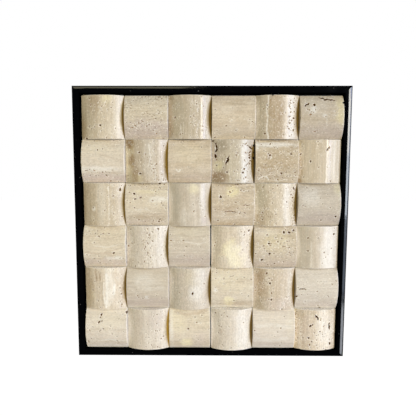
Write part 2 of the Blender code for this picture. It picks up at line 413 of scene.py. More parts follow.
                 Patch(C, .80, .5, .22, .8, .3)),
    ),
    (4, 3): Stone(
        Tone.GREY, Shade.DIM, pores=.4, polish=.2,
        pits=(Pit(.38, .58, 1.8, 1.0, 85), Pit(.38, .70, 1.5, 1.1), Pit(.04, .20, 1.5, 1.2),
              Pit(.72, .44, 1.4, .8, 50)),
        patches=(Patch(H, .5, .15, .5, .2, .25), Patch(R, .6, .85, .8, .2, .55)),
        veins=(Vein(U, ((.3, .18), (.55, .28), (.95, .22)), 2.2, .28),
               Vein(C, ((.4, .36), (.7, .42), (.9, .38)), 1.6, .4),
               Vein(U, ((.5, .84), (.75, .87), (1.0, .83)), 1.0, .3),
               Vein(C, ((.6, .92), (1.0, .90)), 1.0, .3)),
    ),
    (4, 4): Stone(
        Tone.CREAM, Shade.FAIR, pores=.6, polish=.4,
        pits=(Pit(.88, .115, 2.4, 1.8, 85), Pit(.77, .20, 1.7, 1.3), Pit(.25, .73, 1.4, 1.2),
              Pit(.09, .40, 1.5, 1.2), Pit(.07, .47, 1.5, 1.1), Pit(.71, .13, 1.2, 1.0)),
        patches=(Patch(H, .44, .56, .22, .26, .85), Patch(H, .58, .80, .24, .22, .75),
                 Patch(C, .50, .68, .30, .34, .30), Patch(S, .10, .40, .14, .50, .50),
                 Patch(S, .65, .15, .12, .15, .25)),
    ),
    (4, 5): Stone(
        Tone.SAND, Shade.DIM, pores=.9, polish=.3,
        pits=(Pit(.70, .15, 2.8, 2.0, -80), Pit(.745, .09, 1.7, 1.2, 80), Pit(.815, .155, 2.6, 1.9),
              Pit(.92, .10, 2.2, 1.7, 80), Pit(.31, .21, 2.0, 1.5, 20), Pit(.50, .27, 2.0, 1.5, -20),
              Pit(.55, .36, 2.0, 1.4), Pit(.34, .405, 2.6, 2.0, 20), Pit(.60, .42, 1.6, 1.2),
              Pit(.36, .65, 2.6, 1.9, -10), Pit(.035, .64, 1.9, 1.4), Pit(.185, .805, 3.3, 2.3, -5),
              Pit(.50, .90, 2.4, 1.6, 20), Pit(.34, .94, 2.0, 1.4), Pit(.81, .35, 1.4, 1.0),
              Pit(.78, .77, 1.3, 1.0), Pit(.70, .86, 1.5, 1.1), Pit(.25, .83, 1.5, .9),
              Pit(.65, .28, 1.4, 1.0), Pit(.45, .55, 1.4, 1.0)),
        patches=(Patch(H, .5, .35, .5, .35, .35), Patch(R, .6, .93, .8, .12, .5),
                 Patch(C, .3, .15, .3, .12, .3)),
    ),
    (4, 6): Stone(
        Tone.GREY, Shade.EVEN, pores=.2, polish=.1,
        pits=(Pit(.87, .19, 2.4, 1.7, -50), Pit(.25, .27, 1.9, 1.3, 60), Pit(.255, .58, 1.9, 1.5),
              Pit(.64, .605, 1.6, 1.3), Pit(.88, .06, 1.5, 1.2), Pit(.55, .25, 1.3, 1.0)),
        patches=(Patch(U, .24, .18, .16, .22, .55), Patch(U, .27, .65, .12, .45, .55),
                 Patch(S, .20, .5, .24, 1.2, .50), Patch(C, .75, .5, .24, 1.2, .70)),
        veins=(Vein(U, ((.40, .2), (.42, .9)), 2.2, .30), Vein(C, ((.33, .35), (.34, .95)), 1.2, .35)),
    ),
    (5, 1): Stone(
        Tone.CREAM, Shade.LIGHT, pores=.4, polish=.3,
        pits=(Pit(.87, .90, 1.9, 1.4, -50), Pit(.84, .82, 1.8, .9, 85), Pit(.38, .95, 1.7, 1.3),
              Pit(.36, .46, 1.4, 1.0), Pit(.86, .96, 1.5, 1.1)),
        patches=(Patch(U, .10, .55, .14, .60, .42), Patch(H, .12, .6, .12, .4, .3),
                 Patch(C, .60, .40, .14, .6, .55), Patch(U, .91, .5, .06, .35, .40)),
        veins=(Vein(U, ((.27, .04), (.28, .17), (.30, .30)), 2.0, .7),
               Vein(U, ((.37, .08), (.38, .28)), 1.8, .65),
               Vein(C, ((.53, .15), (.55, .5), (.52, .95)), 2.2, .6),
               Vein(U, ((.43, .5), (.45, .9)), 1.4, .35),
               Vein(C, ((.47, .35), (.45, .6), (.49, .85)), 1.6, .6),
               Vein(C, ((.72, .40), (.70, .62)), 2.4, .5), Vein(U, ((.61, .3), (.62, .8)), 1.0, .3)),
    ),
    (5, 2): Stone(
        Tone.GREY, Shade.DIM, pores=.1, polish=.2,
        pits=(Pit(.43, .71, 1.2, .9), Pit(.51, .71, 1.2, .9)),
        patches=(Patch(C, .48, .71, .06, .05, 1.0), Patch(C, .45, .30, .35, .2, .40),
                 Patch(R, .5, .85, .8, .2, .55), Patch(S, .2, .2, .2, .2, .2),
                 Patch(C, .5, .97, .9, .07, .40)),
        veins=(Vein(C, ((.3, .45), (.5, .52), (.85, .45)), 4.0, .22),
               Vein(U, ((.1, .35), (.4, .30), (.6, .36)), 1.6, .18)),
    ),
    (5, 3): Stone(
        Tone.GREY, Shade.DIM, pores=.15, polish=.4,
        pits=(Pit(.57, .605, 2.9, 1.8, 60), Pit(.63, .69, 1.4, .9, 50), Pit(.84, .39, 1.4, 1.0)),
        patches=(Patch(S, .14, .70, .18, .50, .75), Patch(S, .16, .15, .12, .25, .35),
                 Patch(C, .62, .62, .16, .18, .60), Patch(H, .5, .25, .2, .2, .25),
                 Patch(R, .88, .5, .08, .4, .25), Patch(C, .72, .35, .2, .6, .45)),
    ),
    (5, 4): Stone(
        Tone.BUTTER, Shade.EVEN, pores=.4, polish=.3,
        pits=(Pit(.55, .785, 1.8, 1.5), Pit(.30, .25, 1.8, 1.2, 85), Pit(.88, .66, 2.6, 1.2, 72),
              Pit(.72, .60, 1.5, 1.0, -50), Pit(.30, .37, 1.3, .9), Pit(.13, .52, 1.2, .9)),
        patches=(Patch(H, .43, .81, .13, .13, 1.1), Patch(C, .115, .52, .07, .06, .9),
                 Patch(U, .7, .86, .45, .10, .38), Patch(U, .75, .30, .25, .05, .20),
                 Patch(H, .4, .3, .5, .3, .15), Patch(C, .4, .98, .9, .06, .40)),
    ),
    (5, 5): Stone(
        Tone.SAND, Shade.EVEN, pores=.6, polish=.4,
        pits=(Pit(.31, .11, 2.0, 1.6, 60), Pit(.39, .35, 2.4, 1.9, 80), Pit(.42, .59, 1.8, 1.4),
              Pit(.42, .745, 2.4, 1.7, 70), Pit(.36, .73, 1.5, 1.0, 80), Pit(.46, .13, 1.5, 1.1),
              Pit(.68, .985, 2.4, 1.7), Pit(.36, .24, 1.5, 1.1), Pit(.44, .67, 1.4, 1.1),
              Pit(.43, .27, 1.4, 1.0, 80), Pit(.46, .48, 1.5, 1.0, 80), Pit(.40, .88, 1.4, .9, 80)),
        patches=(Patch(U, .14, .40, .16, .60, .42), Patch(S, .20, .85, .18, .2, .35),
                 Patch(C, .86, .35, .08, .5, .45), Patch(R, .6, .85, .35, .2, .45)),
    ),
    (5, 6): Stone(
        Tone.PALE, Shade.DIM, pores=.5, polish=.2,
        pits=(Pit(.05, .45, 1.8, .9, -40), Pit(.02, .675, 2.2, 1.9), Pit(.55, .92, 2.2, 1.3),
              Pit(.60, .992, 2.6, 1.8), Pit(.22, .53, 1.5, .8), Pit(.27, .62, 1.4, .8, 50)),
        patches=(Patch(S, .4, .4, .7, .6, .28), Patch(R, .6, .9, .6, .12, .3),
                 Patch(C, .30, .8, .1, .08, .3), Patch(C, .5, .98, .9, .05, .35)),
        cracks=(Crack(((.07, .50), (.13, .48), (.23, .49)), 1.2),),
    ),
    (6, 1): Stone(
        Tone.PALE, Shade.FAIR, pores=.5, polish=.3,
        pits=(Pit(.38, .15, 2.4, 1.7, 40), Pit(.35, .21, 2.0, 1.4, 70), Pit(.33, .32, 3.0, 1.7, 45),
              Pit(.40, .29, 1.6, 1.1, 40), Pit(.43, .48, 2.1, 1.4, 60), Pit(.35, .53, 2.4, 1.1, 40),
              Pit(.99, .10, 3.0, 2.6, 40), Pit(.90, .14, 1.7, 1.1, 80), Pit(.05, .46, 1.6, 1.3),
              Pit(.80, .24, 1.3, 1.0)),
        patches=(Patch(H, .5, .3, .5, .3, .28), Patch(R, .6, .88, .6, .1, .25),
                 Patch(C, .5, .97, .9, .08, .50)),
        veins=(Vein(U, ((.02, .50), (.15, .62), (.4, .68)), 1.2, .22),
               Vein(C, ((.3, .8), (.6, .75), (.9, .8)), 1.6, .4)),
    ),
    (6, 2): Stone(
        Tone.PALE, Shade.EVEN, pores=.45, polish=.3,
        pits=(Pit(.45, .57, 1.3, 1.0), Pit(.45, .69, 1.5, .9, 80), Pit(.52, .69, 1.4, .9, 80),
              Pit(.52, .83, 1.5, 1.1), Pit(.45, .92, 1.4, 1.1), Pit(.71, .35, 1.6, 1.0)),
        patches=(Patch(U, .30, .5, .14, .6, .22), Patch(S, .10, .4, .12, .6, .40),
                 Patch(R, .7, .2, .25, .3, .25)),
        shadow_amber=.9,
    ),
    (6, 3): Stone(
        Tone.BUTTER, Shade.FAIR, pores=.12, polish=.3,
        pits=(Pit(.465, .47, 2.0, 1.6, 60), Pit(.26, .76, 1.5, 1.2, 50), Pit(.77, .33, 1.2, .9),
              Pit(.62, .82, 1.5, 1.0, 70)),
        patches=(Patch(H, .43, .86, .16, .20, .80), Patch(H, .2, .3, .3, .3, .25),
                 Patch(R, .8, .75, .2, .25, .40), Patch(C, .06, .5, .06, .5, .4),
                 Patch(C, .5, .98, .9, .06, .45)),
        veins=(Vein(U, ((.15, .08), (.4, .14), (.7, .11), (.9, .05)), 3.0, .40),),
    ),
    (6, 4): Stone(
        Tone.PALE, Shade.EVEN, pores=.25, polish=.4,
        pits=(Pit(.48, .94, 1.9, 1.3, 40), Pit(.78, .33, 1.4, 1.0), Pit(.10, .10, 1.5, 1.1),
              Pit(.17, .31, 1.4, .9)),
        patches=(Patch(U, .24, .53, .08, .09, .90), Patch(S, .10, .35, .14, .5, .50),
                 Patch(U, .05, .6, .05, .6, .3), Patch(C, .75, .5, .22, 1.0, .45)),
    ),
    (6, 5): Stone(
        Tone.PALE, Shade.EVEN, pores=.15, polish=.2,
        pits=(Pit(.04, .50, 1.7, 1.5, 80), Pit(.45, .62, 1.3, .9), Pit(.55, .92, 1.2, .9)),
        patches=(Patch(H, .9, .3, .12, .4, .2), Patch(R, .4, .86, .6, .06, .3),
                 Patch(C, .5, .97, .9, .08, .50)),
        veins=(Vein(C, ((.1, .40), (.5, .36), (.9, .42)), 4.0, .28),
               Vein(C, ((.05, .72), (.4, .76), (.8, .70)), 5.0, .28)),
    ),
    (6, 6): Stone(
        Tone.SAND, Shade.LIGHT, pores=.8, polish=.4,
        pits=(Pit(.42, .36, 2.1, 1.6, 80), Pit(.36, .40, 2.6, 1.8, 35), Pit(.595, .52, 2.1, 1.7),
              Pit(.325, .69, 2.2, 1.9, 80), Pit(.41, .78, 2.0, 1.5, 80), Pit(.46, .56, 1.6, 1.3),
              Pit(.51, .63, 1.7, 1.3), Pit(.36, .86, 2.6, 1.3, 88), Pit(.37, .93, 1.6, 1.2),
              Pit(.60, .24, 2.3, 1.3, -75), Pit(.86, .86, 3.2, 1.9, 95), Pit(.85, .75, 1.8, 1.2, 85),
              Pit(.84, .27, 1.6, 1.1, 80), Pit(.70, .96, 1.6, 1.2), Pit(.76, .99, 1.5, 1.2),
              Pit(.66, .60, 1.6, 1.0, 80)),
        patches=(Patch(H, .03, .5, .05, 1.0, .40), Patch(U, .05, .4, .07, .8, .40),
                 Patch(R, .25, .5, .2, .6, .35), Patch(C, .70, .5, .25, .7, .55)),
        veins=(Vein(C, ((.5, .1), (.57, .22), (.58, .3)), 1.2, .8),
               Vein(U, ((.2, .1), (.22, .5), (.2, .9)), 1.6, .3)),
        cracks=(Crack(((.47, .12), (.52, .18), (.55, .25)), 1.7),
                Crack(((.825, .33), (.83, .42), (.84, .50)), 1.8)),
    ),
}


def smoothstep(share: Array) -> Array:
    """The curve 3t2 - 2t3 of a share held between 0 and 1.

    Args:
        share: Any array.

    Returns:
        An array of the same shape, from 0 to 1.
    """
    held = np.clip(share, 0.0, 1.0)
    return held * held * (3.0 - 2.0 * held)


def lattice_noise(across: Array, along: Array, rng: np.random.Generator) -> Array:
    """Smooth noise: random heights at whole numbers, blended between them by a smoothstep each way.

    Args:
        across: Where each point lies one way, in lattice squares, from 0 up.
        along: Where it lies the other way.
        rng: The seeded source of the heights.

    Returns:
        Heights from 0 to 1, in the shape of the places.
    """
    heights = rng.random((int(across.max()) + 2, int(along.max()) + 2))
    i, j = across.astype(int), along.astype(int)
    s, t = smoothstep(across - i), smoothstep(along - j)
    low = heights[i, j] * (1 - s) + heights[i + 1, j] * s
    high = heights[i, j + 1] * (1 - s) + heights[i + 1, j + 1] * s
    return low * (1 - t) + high * t


def wobble(share: Array, turns: tuple[float, ...], rng: np.random.Generator) -> Array:
    """An uneven line: a sum of sines, each with a random start, weaker as it gets quicker.

    Args:
        share: How far along the line each point is, from 0 to 1.
        turns: How many waves each sine makes in the length.
        rng: The seeded source of the starts.

    Returns:
        Heights of about -1 to 1.
    """
    waves = [np.sin(2 * math.pi * (turn * share + rng.random())) / math.sqrt(turn) for turn in turns]
    return sum(waves) / sum(1 / math.sqrt(turn) for turn in turns)


def new_piece(name: str, points: Array, quads: Array, caps: list[Array]) -> bpy.types.Object:
    """Makes an object of one closed mesh, smooth but for its flat caps.

    Args:
        name: The object's name.
        points: Places, one row each.
        quads: Smooth faces, as rows of four corners each.
        caps: Flat faces of many corners.

    Returns:
        The object, at the origin, in the scene.
    """
    corners = np.concatenate([quads.ravel(), *caps]).astype(np.int32)
    sizes = np.concatenate([np.full(len(quads), 4), [len(cap) for cap in caps]]).astype(np.int32)
    starts = np.concatenate([[0], np.cumsum(sizes)[:-1]]).astype(np.int32)
    mesh = bpy.data.meshes.new(name)
    mesh.vertices.add(len(points))
    mesh.vertices.foreach_set("co", points.astype(np.float32).ravel())
    mesh.loops.add(len(corners))
    mesh.loops.foreach_set("vertex_index", corners)
    mesh.polygons.add(len(sizes))
    mesh.polygons.foreach_set("loop_start", starts)
    mesh.polygons.foreach_set("loop_total", sizes)
    mesh.polygons.foreach_set("use_smooth", sizes == 4)
    mesh.update(calc_edges=True)
    mesh.validate()
    piece = bpy.data.objects.new(name, mesh)
    bpy.context.scene.collection.objects.link(piece)
    return piece


def add_attribute(piece: bpy.types.Object, name: str, values: Array) -> None:
    """Gives each vertex of a piece a number, or a vector where values has three columns.

    Args:
        piece: The object.
        name: What the material calls the attribute.
        values: One row for each vertex.
    """
    kind, field_name = ("FLOAT_VECTOR", "vector") if values.ndim == 2 else ("FLOAT", "value")
    attribute = piece.data.attributes.new(name, kind, "POINT")
    attribute.data.foreach_set(field_name, values.astype(np.float32).ravel())


class Graph:
    """A material's nodes, added one by one, with each input given as a value or as another node's output."""

    def __init__(self, name: str) -> None:
        """Starts a material.

        Args:
            name: The material's name.
        """
        self.material = bpy.data.materials.new(name)
        self.material.use_nodes = True
        self.tree = self.material.node_tree
        self.shader = self.tree.nodes["Principled BSDF"]

    def feed(self, target: Socket, value: Any) -> None:
        """Gives an input a value, or links another node's output to it.

        Args:
            target: The input.
            value: A value or an output.
        """
        if isinstance(value, Socket):
            self.tree.links.new(value, target)
        else:
            target.default_value = value

    def add(self, kind: str, out: str | int, inputs: dict[str | int, Any], **settings: Any) -> Socket:
        """Adds a node.

        Args:
            kind: The node's type.
            out: The output wanted.
            inputs: Values or sockets by input name or number.
            settings: The node's own properties.

        Returns:
            The output socket.
        """
        node = self.tree.nodes.new(kind)
        for name, value in settings.items():
            setattr(node, name, value)
        for name, value in inputs.items():
            self.feed(node.inputs[name], value)
        return node.outputs[out]

    def attribute(self, name: str, out: str = "Vector") -> Socket:
        """A piece's own attribute: out is Vector, or Fac for a single number."""
        return self.add("ShaderNodeAttribute", out, {}, attribute_name=name)

    def math(self, operation: str, a: Socket | float, b: Socket | float = 0.0) -> Socket:
        """A difference, the greater or lesser, or the like of two numbers."""
        return self.add("ShaderNodeMath", 0, {0: a, 1: b}, operation=operation)

    def plus(self, a: Socket | float, b: Socket | float) -> Socket:
        """The sum of two numbers."""
        return self.math("ADD", a, b)

    def times(self, a: Socket | float, b: Socket | float) -> Socket:
        """The product of two numbers."""
        return self.math("MULTIPLY", a, b)

    def scaled(self, vector: Socket, factors: Triple) -> Socket:
        """A vector times three factors."""
        return self.add("ShaderNodeVectorMath", 0, {0: vector, 1: factors}, operation="MULTIPLY")

    def parts(self, vector: Socket) -> list[Socket]:
        """The three numbers of a vector."""
        first = self.add("ShaderNodeSeparateXYZ", 0, {0: vector})
        return list(first.node.outputs)

    def noise(self, vector: Socket, scale: float, detail: float = 3.0, distortion: float = 0.0) -> Socket:
        """Fractal noise about 0.5."""
        inputs = {"Vector": vector, "Scale": scale, "Detail": detail, "Distortion": distortion}
        return self.add("ShaderNodeTexNoise", "Fac", inputs)

    def remap(
        self, value: Socket, low: float, high: float, to_low: float = 0.0, to_high: float = 1.0
    ) -> Socket:
        """Carries the stretch from low to high smoothly onto another, and holds what lies outside."""
        inputs = {"Value": value, "From Min": low, "From Max": high, "To Min": to_low, "To Max": to_high}
        return self.add("ShaderNodeMapRange", "Result", inputs, interpolation_type="SMOOTHSTEP")

    def blend(self, share: Socket | float, a: Socket | Colour, b: Socket | Colour) -> Socket:
        """A colour that goes from a to b with share."""
        start, end = (value if isinstance(value, Socket) else (*value, 1.0) for value in (a, b))
        return self.add("ShaderNodeMix", MIXED, {SHARE: share, FROM: start, TO: end}, data_type="RGBA")

    def brighten(self, colour: Socket, factor: Socket) -> Socket:
        """A colour times a number."""
        return self.add("ShaderNodeVectorMath", "Vector", {0: colour, "Scale": factor}, operation="SCALE")

    def finish(self, **sockets: Any) -> bpy.types.Material:
        """Sets the shader's inputs.

        Args:
            sockets: Values or sockets by input name, with _ for each space.

        Returns:
            The material.
        """
        for name, value in sockets.items():
            self.feed(self.shader.inputs[name.replace("_", " ")], value)
        return self.material


@dataclass(frozen=True)
class Travertine:
    """Half-polished cream travertine, bedded along the grain, with fine pores and the tile's own stains.

    The grain attribute is the place in the block that the tile was cut from, in centimetres: across the
    beds, along them, and out of the face. The fields named for a grain say how fine a pattern is those ways.
    Some of the colours paint light and shade: a highlight on the arrises and the lit sides, shade on the
    other sides, and a shadow beside a raised neighbour, dark brown or amber.
    """

    tan: Colour = (0.600, 0.510, 0.395)
    cream: Colour = (0.720, 0.640, 0.535)
    pale: Colour = (0.830, 0.770, 0.680)
    tints: tuple[Colour, ...] = (
        (0.920, 0.850, 0.580),
        (0.400, 0.270, 0.150),
        (0.530, 0.490, 0.390),
        (0.915, 0.892, 0.848),
        (0.660, 0.575, 0.530),
    )
    rim: Colour = (0.940, 0.915, 0.865)
    brown: Colour = (0.250, 0.155, 0.080)
    # Near black deep in a pit: partly the stone's brown, partly painted shade
    hollow: Colour = (0.085, 0.045, 0.020)
    # The painted shadow's colours: dark brown, blended towards amber on some tiles
    painted_shadow: Colour = (0.240, 0.155, 0.032)
    shadow_amber: Colour = (0.660, 0.430, 0.070)
    bed_grain: Triple = (1.1, 0.12, 0.6)
    streak_grain: Triple = (4.2, 0.25, 2.0)
    thread_grain: Triple = (9.0, 0.35, 4.0)
    mottle_grain: Triple = (1.0, 0.6, 1.0)
    stain_grain: Triple = (1.6, 0.7, 1.6)
    pore_grain: Triple = (1.0, 0.5, 1.0)
    crowd_grain: Triple = (1.6, 0.6, 1.0)
    strongest_stain: float = 0.95
    plain_flecks: float = 0.28
    porous_flecks: float = 0.52
    polish_gain: float = 0.24
    open_dullness: float = 0.45
    refraction: float = 1.52

    def material(self) -> bpy.types.Material:
        """Builds the stone's nodes.

        Returns:
            The material.
        """
        graph = Graph("travertine")
        grain = graph.attribute("grain")

        # Beds, streaks and clouds
        beds = graph.noise(graph.scaled(grain, self.bed_grain), 1.0, 4.0, 0.5)
        streaks = graph.noise(graph.scaled(grain, self.streak_grain), 1.0, 4.0, 0.4)
        clouds = graph.noise(grain, 0.95, 4.0, 0.6)
        mottled_grain = graph.scaled(grain, self.mottle_grain)
        mottle = graph.noise(mottled_grain, 7.0, 3.0)
        bedded = graph.plus(graph.times(beds, 0.5), graph.times(streaks, 0.5))
        colour = graph.blend(graph.remap(bedded, 0.36, 0.60), self.tan, self.cream)
        colour = graph.blend(graph.remap(clouds, 0.48, 0.78, 0.0, 0.65), colour, self.pale)

        # Stains, painted light and shade, threads and the tile's own lightness
        shares = graph.parts(graph.attribute("tint_low")) + graph.parts(graph.attribute("tint_high"))
        frayed = graph.noise(graph.scaled(grain, self.stain_grain), 1.6, 5.0, 0.8)
        uneven = graph.remap(frayed, 0.25, 0.75, 0.70, 1.30)
        for share, stain in zip(shares, (*self.tints, self.rim)):
            held = graph.math("MINIMUM", graph.times(share, uneven), self.strongest_stain)
            colour = graph.blend(held, colour, stain)
        threads = graph.noise(graph.scaled(grain, self.thread_grain), 1.0, 3.0)
        colour = graph.brighten(colour, graph.remap(mottle, 0.25, 0.75, 0.875, 1.005))
        colour = graph.brighten(colour, graph.remap(threads, 0.30, 0.70, 0.945, 1.055))
        colour = graph.brighten(colour, graph.attribute("shade", "Fac"))

        # Chalky flecks, fine pores in crowds, and the mouths and floors of the pits, the floors near black
        # partly as painted shade
        porous = graph.attribute("porous", "Fac")
        flecks = graph.remap(graph.noise(mottled_grain, 8.0, 2.0), 0.60, 0.70)
        chalky = graph.plus(self.plain_flecks, graph.times(porous, self.porous_flecks))
        colour = graph.blend(graph.times(flecks, chalky), colour, self.rim)
        cells = {"Vector": graph.scaled(grain, self.pore_grain), "Scale": 5.0, "Randomness": 1.0}
        nearest = graph.add("ShaderNodeTexVoronoi", "Distance", cells)
        crowd = graph.remap(graph.noise(graph.scaled(grain, self.crowd_grain), 1.0, 3.0), 0.45, 0.66)
        mouth = graph.times(graph.times(crowd, porous), 0.30)
        fine = graph.remap(graph.math("SUBTRACT", mouth, nearest), -0.06, 0.05)
        ragged = graph.plus(graph.attribute("pit", "Fac"), graph.times(mottle, 0.3))
        shallow, deep = graph.remap(ragged, 0.30, 0.60), graph.remap(ragged, 0.74, 1.0)
        colour = graph.blend(graph.times(fine, 0.5), colour, self.brown)
        colour = graph.blend(graph.times(shallow, 0.85), colour, self.brown)
        colour = graph.blend(deep, colour, self.hollow)

        # Painted shadow in the low angle beside a raised neighbour, dark brown or amber
        in_painted_shadow = graph.attribute("painted_shadow", "Fac")
        painted_shadow_colour = graph.blend(graph.attribute("shadow_amber", "Fac"), self.painted_shadow, self.shadow_amber)
        colour = graph.blend(graph.times(in_painted_shadow, 0.92), colour, painted_shadow_colour)

        # Polish, which open stone and the painted shadow's band don't take
        polish = graph.times(graph.attribute("polish", "Fac"), self.polish_gain)
        rough = graph.math("SUBTRACT", graph.remap(mottle, 0.3, 0.7, 0.33, 0.41), polish)
        open_stone = graph.math("MAXIMUM", graph.math("MAXIMUM", fine, shallow), in_painted_shadow)
        dullness = graph.times(open_stone, self.open_dullness)
        rough = graph.plus(rough, dullness)
        gloss = graph.math("SUBTRACT", 0.45, dullness)
        relief = graph.math("SUBTRACT", graph.times(mottle, 0.10), fine)
        bump = {"Strength": 0.25, "Distance": 0.5 * MM, "Height": relief}
        normal = graph.add("ShaderNodeBump", "Normal", bump)
        return graph.finish(
            Base_Color=colour, Roughness=rough, Specular_IOR_Level=gloss, Normal=normal, IOR=self.refraction
        )


@dataclass(frozen=True)
class Lacquer:
    """Black high-gloss lacquer with a faint orange peel and a little dust, worn dull on the opening's lip.

    The sight is how far the opening's faces lie from the panel's middle.
    """

    sight: float
    black: Colour = (0.0008, 0.0008, 0.0010)
    dust: Colour = (0.10, 0.10, 0.10)
    dull_lip: float = 0.30 * MM
    glossy_from: float = 0.60 * MM
    refraction: float = 1.7

    def material(self) -> bpy.types.Material:
        """Builds the lacquer's nodes.

        Returns:
            The material.
        """
        graph = Graph("frame_lacquer")
        place = graph.add("ShaderNodeTexCoord", "Object", {})
        peel = graph.noise(place, 260.0, 2.0)
        smears = graph.noise(place, 34.0, 4.0, 0.8)
        specks = graph.add("ShaderNodeTexVoronoi", "Distance", {"Vector": place, "Scale": 190.0})
        sparse = graph.remap(graph.noise(place, 60.0, 2.0), 0.56, 0.66)
        dusty = graph.times(graph.remap(specks, 0.16, 0.06), sparse)
        colour = graph.blend(graph.times(dusty, 0.7), self.black, self.dust)
        rough = graph.plus(graph.remap(smears, 0.35, 0.75, 0.06, 0.15), graph.times(dusty, 0.4))
        bump = {"Strength": 0.05, "Distance": 0.2 * MM, "Height": peel}
        normal = graph.add("ShaderNodeBump", "Normal", bump)
        right, _, up = graph.parts(place)
        from_middle = graph.math("MAXIMUM", graph.math("ABSOLUTE", right), graph.math("ABSOLUTE", up))
        gloss = graph.remap(from_middle, self.sight + self.dull_lip, self.sight + self.glossy_from, 0.0, 0.5)
        return graph.finish(
            Base_Color=colour, Roughness=rough, Specular_IOR_Level=gloss, Normal=normal, IOR=self.refraction
        )


@dataclass(frozen=True)
class Hardboard:
    """Brown hardboard: matted fibres under the press's screen pattern, with its face painted black.

    The paint covers the face and half of the edges. Its line is measured from the board's back.
    """

    dark: Colour = (0.085, 0.045, 0.022)
    light: Colour = (0.235, 0.140, 0.075)
    black: Colour = (0.004, 0.004, 0.004)
    bare_to: float = 2.7 * MM
    painted_from: float = 2.9 * MM

    def material(self) -> bpy.types.Material:
        """Builds the board's nodes.

        Returns:
            The material.
        """
        graph = Graph("hardboard")
        place = graph.add("ShaderNodeTexCoord", "Object", {})
        fibres = graph.noise(graph.scaled(place, (1.0, 1.0, 2.4)), 420.0, 4.0, 1.2)
        clouds = graph.noise(place, 14.0, 5.0, 0.4)
        chips = graph.noise(graph.scaled(place, (1.0, 1.0, 3.5)), 150.0, 3.0, 1.5)
        flecks = graph.remap(chips, 0.60, 0.74)
        share = graph.plus(graph.times(fibres, 0.55), graph.times(clouds, 0.45))
        colour = graph.blend(graph.remap(share, 0.34, 0.66), self.dark, self.light)
        colour = graph.blend(graph.times(flecks, 0.35), colour, self.light)
        depth = graph.parts(place)[1]
        painted = graph.remap(depth, -self.bare_to, -self.painted_from)
        colour = graph.blend(painted, colour, self.black)
        threads = [
            graph.add("ShaderNodeTexWave", "Fac", {"Vector": place, "Scale": 210.0}, bands_direction=axis)
            for axis in ("X", "Z")
        ]
        screen = graph.times(threads[0], threads[1])
        relief = graph.plus(graph.times(screen, 0.8), graph.times(fibres, 0.5))
        bump = {"Strength": 0.4, "Distance": 0.4 * MM, "Height": relief}
        normal = graph.add("ShaderNodeBump", "Normal", bump)
        rough = graph.remap(fibres, 0.3, 0.7, 0.62, 0.82)
        return graph.finish(Base_Color=colour, Roughness=rough, Normal=normal)


@dataclass(frozen=True)
class FloorPaint:
    """Plain pale floor with a barely seen unevenness."""

    dull: Colour = (0.197, 0.197, 0.197)
    pale: Colour = (0.200, 0.200, 0.200)
    white: tuple[float, ...] = (1.0, 1.0, 1.0, 1.0)
    glow: float = 1.0

    def material(self) -> bpy.types.Material:
        """Builds the floor's nodes.

        Returns:
            The material.
        """
        graph = Graph("floor")
        place = graph.add("ShaderNodeTexCoord", "Object", {})
        colour = graph.blend(graph.remap(graph.noise(place, 2.0, 3.0), 0.3, 0.7), self.dull, self.pale)
        return graph.finish(
            Base_Color=colour, Roughness=0.8, Emission_Color=self.white, Emission_Strength=self.glow
        )


